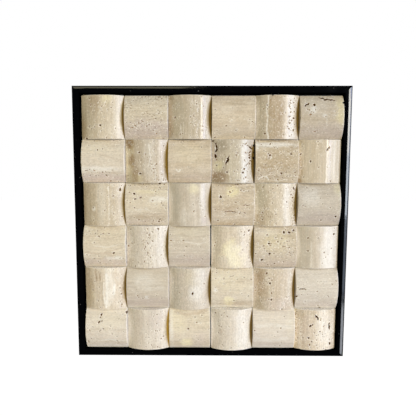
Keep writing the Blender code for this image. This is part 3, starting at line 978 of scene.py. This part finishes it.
@dataclass
class Tile:
    """One arched travertine tile, from the solid of its node.

    The widths and depths of pores and chips are in millimetres, as in the notes on the stone. A pair of
    numbers is the least and the most, or a fixed part and what is added to it.
    """

    row: int
    column: int
    stone: Stone
    first_seed: int = 1000

    # The block and its joints
    arch_rise: float = 8.3 * MM
    cell_width: float = 50.4 * MM
    tight_joint: float = 0.07 * MM
    open_joint: float = 0.95 * MM

    # The grid over the face, and the rings of the sides as shares of the way back
    steps: int = 104
    arris_steps: int = 4
    ring_shares: tuple[float, ...] = (0.06, 0.5, 1.0)

    # Worn arrises and corners, and the saw's wander with its small chips
    arris: float = 0.55 * MM
    arris_wear: tuple[float, float] = (0.75, 0.5)
    end_wear: float = 1.7
    wear_square: float = 3.0 * MM
    corner_wear: float = 0.45
    most_wander: float = 0.08 * MM
    wander_waves: tuple[float, ...] = (1.3, 3.1, 7.7, 17.0)
    chip_count: tuple[int, int] = (2, 6)
    chip_width: tuple[float, float] = (0.5, 1.3)
    chip_depth: tuple[float, float] = (0.05, 0.25)
    most_swell: float = 0.05 * MM
    swell_square: float = 9.0 * MM

    # Fine pores, strung along a few beds
    bed_count: int = 3
    bed_spread: float = 0.07
    pore_count: tuple[int, int] = (6, 64)
    pore_field: tuple[float, float] = (0.03, 0.97)
    pore_width: tuple[float, float] = (0.55, 1.05)
    pore_stretch: tuple[float, float] = (1.2, 3.0)
    pore_lean: float = 25.0

    # Pits and cracks
    pit_growth: float = 1.2
    deepest_pit: float = 2.4 * MM
    bowl_power: float = 0.55
    faint_wide: float = 0.6
    faintest: float = 0.35
    boldening: float = 0.50
    rim_width: float = 1.0
    most_warp: float = 1.1 * MM
    warp_square: float = 1.6 * MM
    crack_square: float = 1.3 * MM
    crack_rag: tuple[float, float] = (0.45, 1.1)
    crack_taper: tuple[float, float] = (0.25, 0.75)
    crack_gain: float = 1.4
    depth_gain: tuple[float, float] = (0.3, 0.6)
    ring_gain: tuple[float, float] = (0.1, 0.8)

    # Stains, painted highlight on the arrises, painted light and shade on the sides, and painted shadow
    fray_squares: tuple[float, float] = (6, 17)
    patch_reach: float = 1.25
    vein_reach: float = 1.5
    arris_highlight_width: float = 0.9 * MM
    arris_highlight: float = 0.6
    side_painted_shade: float = 0.25
    side_painted_light: float = 0.7
    painted_shadow_width: tuple[float, float] = (0.004, 0.063)
    painted_shadow_fade: float = 0.016
    rng: np.random.Generator = field(init=False)

    def __post_init__(self) -> None:
        """Seeds the tile's own randomness by its place."""
        self.rng = np.random.default_rng(self.first_seed + 10 * self.row + self.column)

    @property
    def node(self) -> str:
        """The node that the tile stands for."""
        return f"tile_row{self.row}_column{self.column}"

    @property
    def upright(self) -> bool:
        """Whether the arch stands upright, so that the face curves from left to right."""
        return (self.row + self.column) % 2 == 0

    def laid_box(self) -> tuple[Vector, Vector]:
        """The node's box, each side carried to just short of the joint's middle where the joint isn't open.

        Returns:
            The lowest and the highest corner.
        """
        low, high = (Vector(corner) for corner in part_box(self.node))
        # On along X lies the next column, and up along Z the row before
        for axis, rows_on, columns_on in ((0, 0, 1), (2, -1, 0)):
            for way in (-1, 1):
                row, column = self.row + way * rows_on, self.column + way * columns_on
                if not (1 <= row <= TILES_A_SIDE and 1 <= column <= TILES_A_SIDE):
                    continue
                next_low, next_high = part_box(f"tile_row{row}_column{column}")
                joint = next_low[axis] - high[axis] if way > 0 else low[axis] - next_high[axis]
                if axis == 2 or joint < self.open_joint:
                    side = high if way > 0 else low
                    side[axis] += way * (joint - self.tight_joint) / 2
        return low, high

    def grid_places(self, length: float) -> Array:
        """Distances of the grid's lines from one side.

        In each arris of radius r they are r(1 - cos a) by equal steps of the angle a, and between them even.

        Args:
            length: The face's length that way.

        Returns:
            Distances from 0 to length.
        """
        angles = np.linspace(0.0, math.pi / 2, self.arris_steps + 1)[:-1]
        near = self.arris * (1 - np.cos(angles))
        middle = np.linspace(self.arris, length - self.arris, self.steps - 2 * self.arris_steps + 1)
        return np.concatenate([near, middle, length - near[::-1]])

    def inset(self, side: Side, along: Array, length: float) -> Array:
        """How far a side lies in from its sawn line.

        It is a slow wander, a bell curve for each small chip, the root of a smoothstep for each notch's
        rounded bite, and a part of a quarter round at the worn corners.

        Args:
            side: Which side.
            along: Distances along it, from the left or from the bottom.
            length: The side's length.

        Returns:
            Distances in from the line, none under 0.
        """
        share = along / length
        back = self.most_wander * (0.5 + 0.5 * wobble(share, self.wander_waves, self.rng))
        for _ in range(self.rng.integers(*self.chip_count)):
            at, wide = self.rng.random() * length, self.rng.uniform(*self.chip_width) * MM
            bell = np.exp(-(((along - at) / wide) ** 2) * 3)
            back = back + self.rng.uniform(*self.chip_depth) * MM * bell
        for notch in self.stone.notches:
            if notch.side is side:
                at = notch.along if side in (Side.TOP, Side.BOTTOM) else 1 - notch.along
                reach = np.clip(1 - np.abs(along - at * length) / (notch.wide * MM / 2), 0, 1)
                back = back + notch.deep * MM * np.sqrt(smoothstep(reach))
        corner = np.clip(1 - np.minimum(along, length - along) / self.arris, 0, 1)
        return back + self.corner_wear * self.arris * (1 - np.sqrt(1 - corner**2))

    def seeded_pits(self) -> list[Pit]:
        """Fine pores strung along a few beds, more of them in porous stone.

        Returns:
            Pits longer along the grain than across it.
        """
        beds = self.rng.random(self.bed_count)
        fewest, more = self.pore_count
        pits = []
        for _ in range(int(fewest + more * self.stone.pores)):
            off_bed = self.rng.choice(beds) + self.rng.normal(0, self.bed_spread)
            across = float(np.clip(off_bed, *self.pore_field))
            along = float(self.rng.uniform(*self.pore_field))
            wide = self.rng.uniform(*self.pore_width)
            place = (across, along) if self.upright else (along, across)
            lean = self.rng.normal(0, self.pore_lean) + (90 if self.upright else 0)
            pits.append(Pit(*place, wide * self.rng.uniform(*self.pore_stretch), wide, lean))
        return pits

    def off_path(self, x: Array, z: Array, path: Path) -> tuple[Array, Array]:
        """How far each point is from a path of straight steps.

        Args:
            x: Distances from the face's left.
            z: Distances from its bottom.
            path: The path's points in shares of the face, across and down.

        Returns:
            Distances in metres, and the share of the path's steps at the nearest place.
        """
        nearest, share = np.full_like(x, np.inf), np.zeros_like(x)
        points = [np.array([across, 1 - down]) * self.cell_width for across, down in path]
        for number, (start, end) in enumerate(zip(points, points[1:])):
            run = end - start
            along = np.clip(((x - start[0]) * run[0] + (z - start[1]) * run[1]) / (run @ run), 0, 1)
            distance = np.hypot(x - start[0] - along * run[0], z - start[1] - along * run[1])
            share = np.where(distance < nearest, (number + along) / (len(points) - 1), share)
            nearest = np.minimum(nearest, distance)
        return nearest, share

    def noise(self, x: Array, z: Array, square: float) -> Array:
        """Smooth noise from 0 to 1 over the face, on a lattice of squares with that side."""
        return lattice_noise(x / square, z / square, self.rng)

    def warped(self, x: Array, z: Array) -> tuple[Array, Array]:
        """Places shifted by smooth noise, so that what is laid out on them gets a natural, uneven edge.

        Args:
            x: Distances from the left.
            z: Distances from the bottom.

        Returns:
            The shifted distances.
        """
        shifts = []
        for _ in range(2):
            coarse = self.noise(x, z, self.warp_square) - 0.5
            finer = self.noise(x, z, self.warp_square / 2) - 0.5
            shifts.append(self.most_warp * (coarse + 0.5 * finer))
        return x + shifts[0], z + shifts[1]

    def boldness(self, wide: float) -> float:
        """How plainly a mouth that wide shows: the faintest at least, more with its width, and 1 at most."""
        return float(np.clip(self.faintest + self.boldening * (wide - self.faint_wide), self.faintest, 1.0))

    def sunk(self, x: Array, z: Array, width: float, height: float) -> tuple[Array, Array, Array]:
        """How deep the pits and cracks lie at each point of the face.

        A pit is one less the square of the distance from its middle, in half mouths, to a low power, so that
        it has steep walls and a rounded floor. A crack is the same of the distance from its path, tapered by
        the root of a sine towards its ends, and ragged by noise. Smooth noise shifts both, so that their
        mouths are uneven.

        Args:
            x: Distances from the left.
            z: Distances from the bottom.
            width: The face's width.
            height: The face's height.

        Returns:
            Depths in metres, how far inside a pit each point is, and how near outside one, both from 0 to 1.
        """
        depth, inside, rim = np.zeros_like(x), np.zeros_like(x), np.zeros_like(x)
        warped_x, warped_z = self.warped(x, z)
        mouths = []
        for pit in (*self.stone.pits, *self.seeded_pits()):
            turn = math.radians(pit.turn)
            from_x, from_z = warped_x - pit.across * width, warped_z - (1 - pit.down) * height
            p = (from_x * math.cos(turn) + from_z * math.sin(turn)) / (pit.long * MM * self.pit_growth / 2)
            q = (from_z * math.cos(turn) - from_x * math.sin(turn)) / (pit.wide * MM * self.pit_growth / 2)
            mouths.append((np.hypot(p, q), math.sqrt(pit.long * pit.wide) / 2, pit.wide))
        for crack in self.stone.cracks:
            nearest, share = self.off_path(warped_x, warped_z, crack.path)
            ragged = self.crack_rag[0] + self.crack_rag[1] * self.noise(x, z, self.crack_square)
            narrowing = np.sqrt(np.sin(math.pi * np.clip(share, 0, 1)))
            half = crack.wide * MM / 2 * ragged * (self.crack_taper[0] + self.crack_taper[1] * narrowing)
            mouths.append((nearest / half, crack.wide / 2, crack.wide * self.crack_gain))
        for reach, half_mouth, wide in mouths:
            bowl = np.clip(1 - reach**2, 0, 1) ** self.bowl_power
            strength = self.boldness(wide)
            fall = wide * MM * (self.depth_gain[0] + self.depth_gain[1] * strength)
            depth = np.maximum(depth, bowl * min(fall, self.deepest_pit))
            inside = np.maximum(inside, np.sqrt(bowl) * strength)
            ring = smoothstep(1 - (reach - 1) * half_mouth / self.rim_width)
            rim = np.maximum(rim, ring * (self.ring_gain[0] + self.ring_gain[1] * strength))
        return depth, inside, rim * (1 - np.minimum(inside * 2, 1))

    def tint_shares(self, across: Array, down: Array) -> Array:
        """The share of each colour at each point, for stains and for the painted light and shade of some
        patches.

        It is the tile's tone, with patches that fade out by a smoothstep, frayed by noise, and veins that
        fade across their width.

        Args:
            across: Shares across the face, from the left.
            down: Shares down it, from the top.

        Returns:
            One column for each stain, and an empty sixth.
        """
        shares = np.tile([*self.stone.tone.value, 0.0], (across.size, 1))
        for patch in self.stone.patches:
            coarse, finer = (lattice_noise(across * n, down * n, self.rng) - 0.5 for n in self.fray_squares)
            fray = coarse + 0.5 * finer
            p = (across - patch.across) / patch.half_width
            q = (down - patch.down) / patch.half_height
            near = self.patch_reach - np.sqrt(p * p + q * q) + 0.5 * fray
            shares[:, patch.stain.value] += patch.amount * smoothstep(near)
        x, z = self.warped(across * self.cell_width, (1 - down) * self.cell_width)
        for vein in self.stone.veins:
            nearest, _ = self.off_path(x, z, vein.path)
            near = self.vein_reach - nearest / (vein.wide * MM / 2)
            shares[:, vein.stain.value] += vein.amount * smoothstep(near)
        return shares

    def face(self, low: Vector, high: Vector) -> tuple[Array, tuple[Array, Array], tuple[Array, Array]]:
        """The face's surface: one arc, rounded into its arrises and pitted.

        Its height is crown - r + sqrt(r2 - a2), where a is the distance from the arch's axis, less the
        arris's quarter round, wider at a level arch's ends, less the pits, and less a slow swell.

        Args:
            low: The lowest corner of the tile's box.
            high: The highest corner.

        Returns:
            The grid's places, how far inside a pit each is and how near outside one, and where each is in
            shares across and down.
        """
        width, height, crown = high.x - low.x, high.z - low.z, high.y - low.y
        radius = ((self.cell_width / 2) ** 2 + self.arch_rise**2) / (2 * self.arch_rise)
        x_lines, z_lines = self.grid_places(width), self.grid_places(height)
        left, right = (self.inset(side, z_lines, height) for side in (Side.LEFT, Side.RIGHT))
        bottom, top = (self.inset(side, x_lines, width) for side in (Side.BOTTOM, Side.TOP))
        flat_x, flat_z = np.meshgrid(x_lines, z_lines, indexing="ij")
        x = left[None, :] + flat_x * (1 - (left + right)[None, :] / width)
        z = bottom[:, None] + flat_z * (1 - (bottom + top)[:, None] / height)

        off_axis = x - width / 2 if self.upright else z - height / 2
        arc = crown - radius + np.sqrt(radius**2 - off_axis**2)
        least, more = self.arris_wear
        wear = self.arris * (least + more * self.noise(flat_x, flat_z, self.wear_square))
        to_side = np.minimum(flat_x, width - flat_x)
        to_end = np.minimum(flat_z, height - flat_z)
        ends = 1.0 if self.upright else self.end_wear
        over = np.hypot(np.clip(1 - to_side / (wear * ends), 0, None), np.clip(1 - to_end / wear, 0, None))
        rounded = wear * (1 - np.sqrt(1 - np.minimum(over, 1) ** 2))
        depth, inside, rims = self.sunk(flat_x, flat_z, width, height)
        swell = self.most_swell * (self.noise(flat_x, flat_z, self.swell_square) - 1)
        out = arc - rounded - np.minimum(depth, arc / 3) + swell
        places = np.stack([low.x + x, high.y - out, low.z + z], axis=-1)
        return places, (inside, rims), (x / width, 1 - z / height)

    def shell(self, face: Array, back: float) -> tuple[Array, Array, Array, tuple[Array, Array]]:
        """Closes the face: rings of its rim, set further and further back, make the sides.

        Args:
            face: The places of the face's grid.
            back: Where the tile's flat back lies.

        Returns:
            The points, the rows of four corners, the back's corners, and the rim's grid numbers.
        """
        last = self.steps
        run = np.arange(last)
        rim_i = np.concatenate([run, np.full(last, last), last - run, np.zeros(last, int)])
        rim_j = np.concatenate([np.zeros(last, int), run, np.full(last, last), last - run])
        rim = face[rim_i, rim_j]
        sides = []
        for share in self.ring_shares:
            ring = rim.copy()
            ring[:, 1] += (back - rim[:, 1]) * share
            sides.append(ring)
        points = np.concatenate([face.reshape(-1, 3), *sides])

        number = np.arange((last + 1) ** 2).reshape(last + 1, last + 1)
        corners = (number[:-1, :-1], number[1:, :-1], number[1:, 1:], number[:-1, 1:])
        quads = [np.stack([corner.ravel() for corner in corners], axis=1)]
        rings = [number[rim_i, rim_j]]
        rings += [number.size + k * 4 * last + np.arange(4 * last) for k in range(len(sides))]
        for front, behind in zip(rings, rings[1:]):
            quads.append(np.stack([np.roll(front, -1), front, behind, np.roll(behind, -1)], axis=1))
        return points, np.concatenate(quads), rings[-1][::-1], (rim_i, rim_j)

    def build(self, material: bpy.types.Material) -> bpy.types.Object:
        """Makes and dresses the tile.

        Args:
            material: The stone.

        Returns:
            The finished piece.
        """
        low, high = self.laid_box()
        face, pits, shares = self.face(low, high)
        points, quads, back, rim = self.shell(face, high.y)
        tile = new_piece(f"travertine_row{self.row}_column{self.column}", points, quads, [back])
        self.dress(tile, points, pits, rim, shares)
        tile.data.materials.append(material)
        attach(tile, BODY)
        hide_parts(self.node)
        return tile

    def dress(
        self,
        tile: bpy.types.Object,
        points: Array,
        pits: tuple[Array, Array],
        rim: tuple[Array, Array],
        shares: tuple[Array, Array],
    ) -> None:
        """Writes the attributes that the stone's material reads.

        The arrises get a painted highlight in chalk. An upright arch gets a painted shadow in the low angle
        beside its right neighbour, in a band as wide as a parabola of the way down. The left and bottom
        sides get painted shade in brown, the others painted light in chalk and a lighter shade.

        Args:
            tile: The piece.
            points: Its vertices.
            pits: How far inside a pit each point of the face is, and how near outside one.
            rim: The face's rim, as grid numbers.
            shares: Where each point of the face is, across and down.
        """
        ring_count = len(self.ring_shares)
        middle = points.mean(axis=0)
        from_middle = (points - middle) * CM_A_METRE
        x, out, z = from_middle[:, 0], -from_middle[:, 1], from_middle[:, 2]
        across, along = (x, z) if self.upright else (z, x)
        offset = self.rng.uniform(10, 90, 3)
        add_attribute(tile, "grain", np.stack([across, along, out], axis=1) + offset)

        def with_sides(values: Array) -> Array:
            """A face's values, followed by its rim's for each ring of the sides."""
            edge = values[rim]
            return np.concatenate([values.reshape(-1, *values.shape[2:]), *[edge] * ring_count])

        across_share, down_share = (np.clip(with_sides(share), 0, 1) for share in shares)
        tints = self.tint_shares(across_share, down_share)
        to_side, to_end = (np.minimum(share, 1 - share) for share in (across_share, down_share))
        # Painted highlight along every arris, in chalk
        in_arris_highlight = 1 - np.minimum(to_side, to_end) * self.cell_width / self.arris_highlight_width
        tints[:, Stain.CHALK.value] += self.arris_highlight * smoothstep(in_arris_highlight)
        # Painted shadow on an upright arch's right flank, where the level neighbour's crown shades it from
        # the window: a band widest halfway down
        thin, wide = self.painted_shadow_width
        reach = thin + wide * (1 - (2 * down_share - 1) ** 2)
        painted_shadow = smoothstep((across_share - 1 + reach) / self.painted_shadow_fade + 0.5)
        add_attribute(tile, "painted_shadow", painted_shadow * (self.upright and self.column < TILES_A_SIDE))
        face_count = pits[0].size
        # Painted shade on the left and bottom sides, in umber and honey, and painted light in chalk on the
        # right and top sides, which face the lights
        shaded = np.tile(np.repeat([1.0, 0.0, 0.0, 1.0], len(rim[0]) // 4), ring_count)
        tints[face_count:, Stain.UMBER.value] += self.side_painted_shade * shaded
        tints[face_count:, Stain.HONEY.value] += self.side_painted_shade * shaded
        tints[face_count:, Stain.CHALK.value] += self.side_painted_light * (1 - shaded)
        inside, rims = (with_sides(share) for share in pits)
        inside[face_count:] = 0
        rims[face_count:] = 0
        add_attribute(tile, "pit", inside)
        tints[:, len(Stain)] = rims
        add_attribute(tile, "tint_low", tints[:, :3])
        add_attribute(tile, "tint_high", tints[:, 3:])
        shade = np.full(len(points), self.stone.shade.value)
        # Painted light: the right and top sides take the lightest shade
        shade[face_count:] = np.where(shaded > 0, shade[face_count:], Shade.LIGHT.value)
        add_attribute(tile, "shade", shade)
        whole = {"porous": self.stone.pores, "polish": self.stone.polish, "shadow_amber": self.stone.shadow_amber}
        for name, value in whole.items():
            add_attribute(tile, name, np.full(len(points), value))


@dataclass
class Frame:
    """Four mitred lengths of black moulding, from the solids of their nodes.

    The section has a rounded lip at the sight edge, a flat, an outer bevel and a rounded outer corner, with
    the board's rebate behind. Its arrises are eased by a fillet. The outer corner's arc is a touch tighter
    than the solid's.
    """

    lip_radius: float = 0.5 * MM
    outer_bevel: tuple[float, float] = (2.6 * MM, 0.5 * MM)
    corner_radius: float = 1.9 * MM
    corner_tightening: float = 0.98
    rebate: tuple[float, float] = (4.5 * MM, 6.3 * MM)
    easing: float = 0.25 * MM
    mitre_closing: float = 0.17 * MM
    sharpest_smooth: float = 30.0
    fillet_steps: int = 5
    stations: int = 25

    def section(self, width: float, depth: float) -> Array:
        """The moulding's outline as (out from the sight edge, forward from the back), each corner a fillet.

        Args:
            width: The rail's width.
            depth: Its depth.

        Returns:
            The outline's points, in order round it.
        """
        shoulder = depth - self.outer_bevel[1]
        flat_end = width - self.corner_radius - self.outer_bevel[0]
        corners = [
            (self.rebate[0], 0.0, self.easing),
            (width, 0.0, self.easing),
            (width, shoulder, self.corner_radius * self.corner_tightening),
            (flat_end, depth, self.easing),
            (0.0, depth, self.lip_radius),
            (0.0, self.rebate[1], self.easing),
            (self.rebate[0], self.rebate[1], 0.0),
        ]
        outline = []
        for k, (out, forward, radius) in enumerate(corners):
            here = np.array([out, forward])
            before = np.array(corners[k - 1][:2]) - here
            after = np.array(corners[(k + 1) % len(corners)][:2]) - here
            outline.append(self.fillet(here, before, after, radius))
        return np.concatenate(outline)

    def fillet(self, corner: Array, before: Array, after: Array, radius: float) -> Array:
        """A corner's arc: the points of a circle that touches both sides, by equal turns.

        Args:
            corner: The sharp corner.
            before: The way back along the side before it.
            after: The way on along the side after it.
            radius: The circle's radius, or 0 for a sharp corner.

        Returns:
            The arc's points, or the corner alone.
        """
        if radius == 0:
            return corner[None, :]
        back, on = before / np.linalg.norm(before), after / np.linalg.norm(after)
        half = math.acos(float(np.clip(back @ on, -1, 1))) / 2
        middle = corner + (back + on) / np.linalg.norm(back + on) * radius / math.sin(half)
        start = corner + back * radius / math.tan(half) - middle
        end = corner + on * radius / math.tan(half) - middle
        share = np.linspace(0, 1, self.fillet_steps + 1)[:, None]
        sweep = math.pi - 2 * half
        return middle + (start * np.sin((1 - share) * sweep) + end * np.sin(share * sweep)) / math.sin(sweep)

    def build(self, material: bpy.types.Material) -> list[bpy.types.Object]:
        """Carries the section along each side of the panel, and cuts its ends on the diagonals.

        Each rail is worked out as the top one, from its node's box, and turned by quarter turns.

        Args:
            material: The lacquer.

        Returns:
            The four pieces.
        """
        low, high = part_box("frame_rail_top")
        section = self.section(high.z - low.z, high.y - low.y)
        short_of_diagonal = high.z - high.x - self.mitre_closing
        share = np.linspace(-1, 1, self.stations)[:, None]
        out, forward = section[None, :, 0], section[None, :, 1]
        x = share * (low.z + out - short_of_diagonal)
        z = np.broadcast_to(low.z + out, x.shape)
        y = np.broadcast_to(high.y - forward, x.shape)
        count = len(section)
        number = np.arange(self.stations * count).reshape(self.stations, count)
        following = np.roll(number, -1, axis=1)
        quads = np.stack([number[:-1], number[1:], following[1:], following[:-1]], axis=-1).reshape(-1, 4)
        rails = []
        for turns, side in enumerate(("top", "right", "bottom", "left")):
            cos, sin = round(math.cos(turns * math.pi / 2)), round(math.sin(turns * math.pi / 2))
            points = np.stack([x * cos + z * sin, y, z * cos - x * sin], axis=-1).reshape(-1, 3)
            rail = new_piece(f"lacquered_rail_{side}", points, quads, [number[0], number[-1][::-1]])
            rail.data.set_sharp_from_angle(angle=math.radians(self.sharpest_smooth))
            rail.data.materials.append(material)
            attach(rail, BODY)
            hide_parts(f"frame_rail_{side}")
            rails.append(rail)
        return rails


@dataclass(frozen=True)
class AreaLight:
    """A soft rectangular light that faces the panel's middle.

    It is seen from there so many degrees right and up of straight ahead. Polished surfaces show it only
    where it is mirrored.
    """

    name: str
    right: float
    up: float
    distance: float
    width: float
    height: float
    radiance: float
    colour: Colour
    mirrored: bool = True

    def build(self) -> bpy.types.Object:
        """Places the light. Its power is its radiance times pi times its area.

        Returns:
            The light.
        """
        data = bpy.data.lights.new(self.name, "AREA")
        data.shape = "RECTANGLE"
        data.size, data.size_y = self.width, self.height
        data.color = self.colour
        data.energy = self.radiance * math.pi * self.width * self.height
        lamp = bpy.data.objects.new(self.name, data)
        turn, tilt = math.radians(self.right), math.radians(self.up)
        way = Vector((math.sin(turn) * math.cos(tilt), -math.cos(turn) * math.cos(tilt), math.sin(tilt)))
        lamp.location = way * self.distance
        lamp.rotation_euler = way.to_track_quat("Z", "Y").to_euler()
        lamp.visible_glossy = self.mirrored
        bpy.context.scene.collection.objects.link(lamp)
        return lamp


@dataclass(frozen=True)
class Studio:
    """The room: a window on the right, a warm ceiling light, and what the wall and the floor throw back."""

    floor_below: float = 0.34
    floor_size: float = 12.0
    room: Colour = (0.05, 0.045, 0.035)
    gloss_room: Colour = (0.012, 0.015, 0.022)
    background: Colour = (1.0, 1.0, 1.0)
    lights: tuple[AreaLight, ...] = (
        AreaLight("window_near_pane", 37.5, 16.5, 2.5, 0.30, 1.2, 11.5, (1.00, 0.98, 0.92)),
        AreaLight("window_near_sill", 37.5, -1.5, 2.5, 0.30, 0.4, 8.0, (0.84, 0.91, 1.0)),
        AreaLight("window_middle_pane", 46.5, 16.5, 2.5, 0.40, 1.2, 9.0, (0.66, 0.73, 1.0)),
        AreaLight("window_middle_sill", 46.5, -1.5, 2.5, 0.40, 0.4, 6.5, (0.66, 0.76, 1.0)),
        AreaLight("window_far_pane", 59.0, 14.0, 2.5, 0.62, 1.4, 4.9, (0.74, 0.84, 1.0)),
        AreaLight("wall_under_the_window", 41.5, -11.5, 2.5, 0.64, 0.5, 1.7, (0.70, 0.80, 1.0)),
        AreaLight("window_light_on_the_floor", 39.0, -24.0, 2.0, 0.35, 0.35, 4.2, (0.88, 0.92, 1.0)),
        AreaLight("ceiling_light", -14.0, 38.0, 2.2, 0.75, 0.75, 1.6, (1.0, 0.94, 0.66)),
        AreaLight("bounce_off_the_floor", 20.0, -38.0, 0.9, 1.2, 0.7, 1.02, (0.93, 0.90, 1.0), False),
        AreaLight("room_in_front", 0.0, 5.0, 1.6, 1.2, 1.2, 2.62, (1.0, 0.86, 0.46), False),
    )

    def build(self) -> None:
        """Makes the lights, the world and the floor."""
        for light in self.lights:
            light.build()
        self.build_world()
        self.build_floor()

    def build_world(self) -> None:
        """A white background, with a dim room for what the surfaces reflect."""
        world = bpy.data.worlds.new("room")
        world.use_nodes = True
        bpy.context.scene.world = world
        nodes, links = world.node_tree.nodes, world.node_tree.links
        rays = nodes.new("ShaderNodeLightPath")
        glossy, camera = (nodes.new("ShaderNodeMix") for _ in range(2))
        for mix, ray, seen in (
            (glossy, "Is Glossy Ray", self.gloss_room),
            (camera, "Is Camera Ray", self.background),
        ):
            mix.data_type = "RGBA"
            links.new(rays.outputs[ray], mix.inputs[SHARE])
            mix.inputs[TO].default_value = (*seen, 1.0)
        glossy.inputs[FROM].default_value = (*self.room, 1.0)
        links.new(glossy.outputs[MIXED], camera.inputs[FROM])
        links.new(camera.outputs[MIXED], nodes["Background"].inputs["Color"])

    def build_floor(self) -> None:
        """A wide floor, well under the hanging panel. It lights nothing, so the underside stays dark."""
        half, level = self.floor_size / 2, CAD_BOX[0].z - self.floor_below
        mesh = bpy.data.meshes.new("floor")
        corners = [(-half, -half, level), (half, -half, level), (half, half, level), (-half, half, level)]
        mesh.from_pydata(corners, [], [(0, 1, 2, 3)])
        mesh.materials.append(FloorPaint().material())
        floor = bpy.data.objects.new("floor", mesh)
        floor.visible_diffuse = False
        floor.visible_glossy = False
        bpy.context.scene.collection.objects.link(floor)


@dataclass(frozen=True)
class Viewpoint:
    """Where the photograph was taken from.

    The offset is in tile cells, from the middle of the plane of the tiles' low edges. It and the angles, in
    degrees, come from matching the corners of the tiles in the picture.
    """

    cell: float = 50.8 * MM
    edge_thickness: float = 8.0 * MM
    focal_px: float = 444.2
    middle_px: float = -11.1
    image_px: int = 416
    sensor: float = 36.0
    pitch: float = 5.95
    yaw: float = -0.43
    roll: float = -0.11
    offset: Triple = (0.335, -0.405, -10.461)

    def build(self) -> bpy.types.Object:
        """Makes the scene's camera.

        Returns:
            The camera.
        """
        data = bpy.data.cameras.new("camera")
        data.sensor_width = self.sensor
        data.lens = self.focal_px / self.image_px * self.sensor
        data.shift_x = -self.middle_px / self.image_px
        camera = bpy.data.objects.new("camera", data)
        first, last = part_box("tile_row1_column1"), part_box("tile_row6_column6")
        edge_plane, middle = first[1].y - self.edge_thickness, (first[1].z + last[0].z) / 2
        panel = Matrix.Translation((0.0, edge_plane, middle)) @ Matrix.Rotation(math.radians(90), 4, "X")
        turns = [(self.roll, "Z"), (self.yaw, "Y"), (self.pitch, "X")]
        view = Matrix.Translation(Vector(self.offset) * self.cell)
        for degrees, axis in turns:
            view = view @ Matrix.Rotation(math.radians(degrees), 4, axis)
        camera.matrix_world = panel @ view.inverted()
        bpy.context.scene.collection.objects.link(camera)
        bpy.context.scene.camera = camera
        return camera


def main() -> None:
    """Builds the panel piece by piece, then the room and the camera."""
    logging.basicConfig(level=logging.INFO, format="%(name)s: %(message)s")
    bpy.context.scene.view_settings.view_transform = "Standard"

    stone = Travertine().material()
    for (row, column), notes in STONES.items():
        tile = Tile(row, column, notes).build(stone)
        log.info("%s: %d faces", tile.name, len(tile.data.polygons))
    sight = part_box("frame_rail_top")[0].z
    for rail in Frame().build(Lacquer(sight).material()):
        log.info("%s: %d faces", rail.name, len(rail.data.polygons))
    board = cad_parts["backing_board"]
    board.data.materials.clear()
    board.data.materials.append(Hardboard().material())
    log.info("%s: dressed", board.name)

    Studio().build()
    Viewpoint().build()


if __name__ == "__main__":
    main()
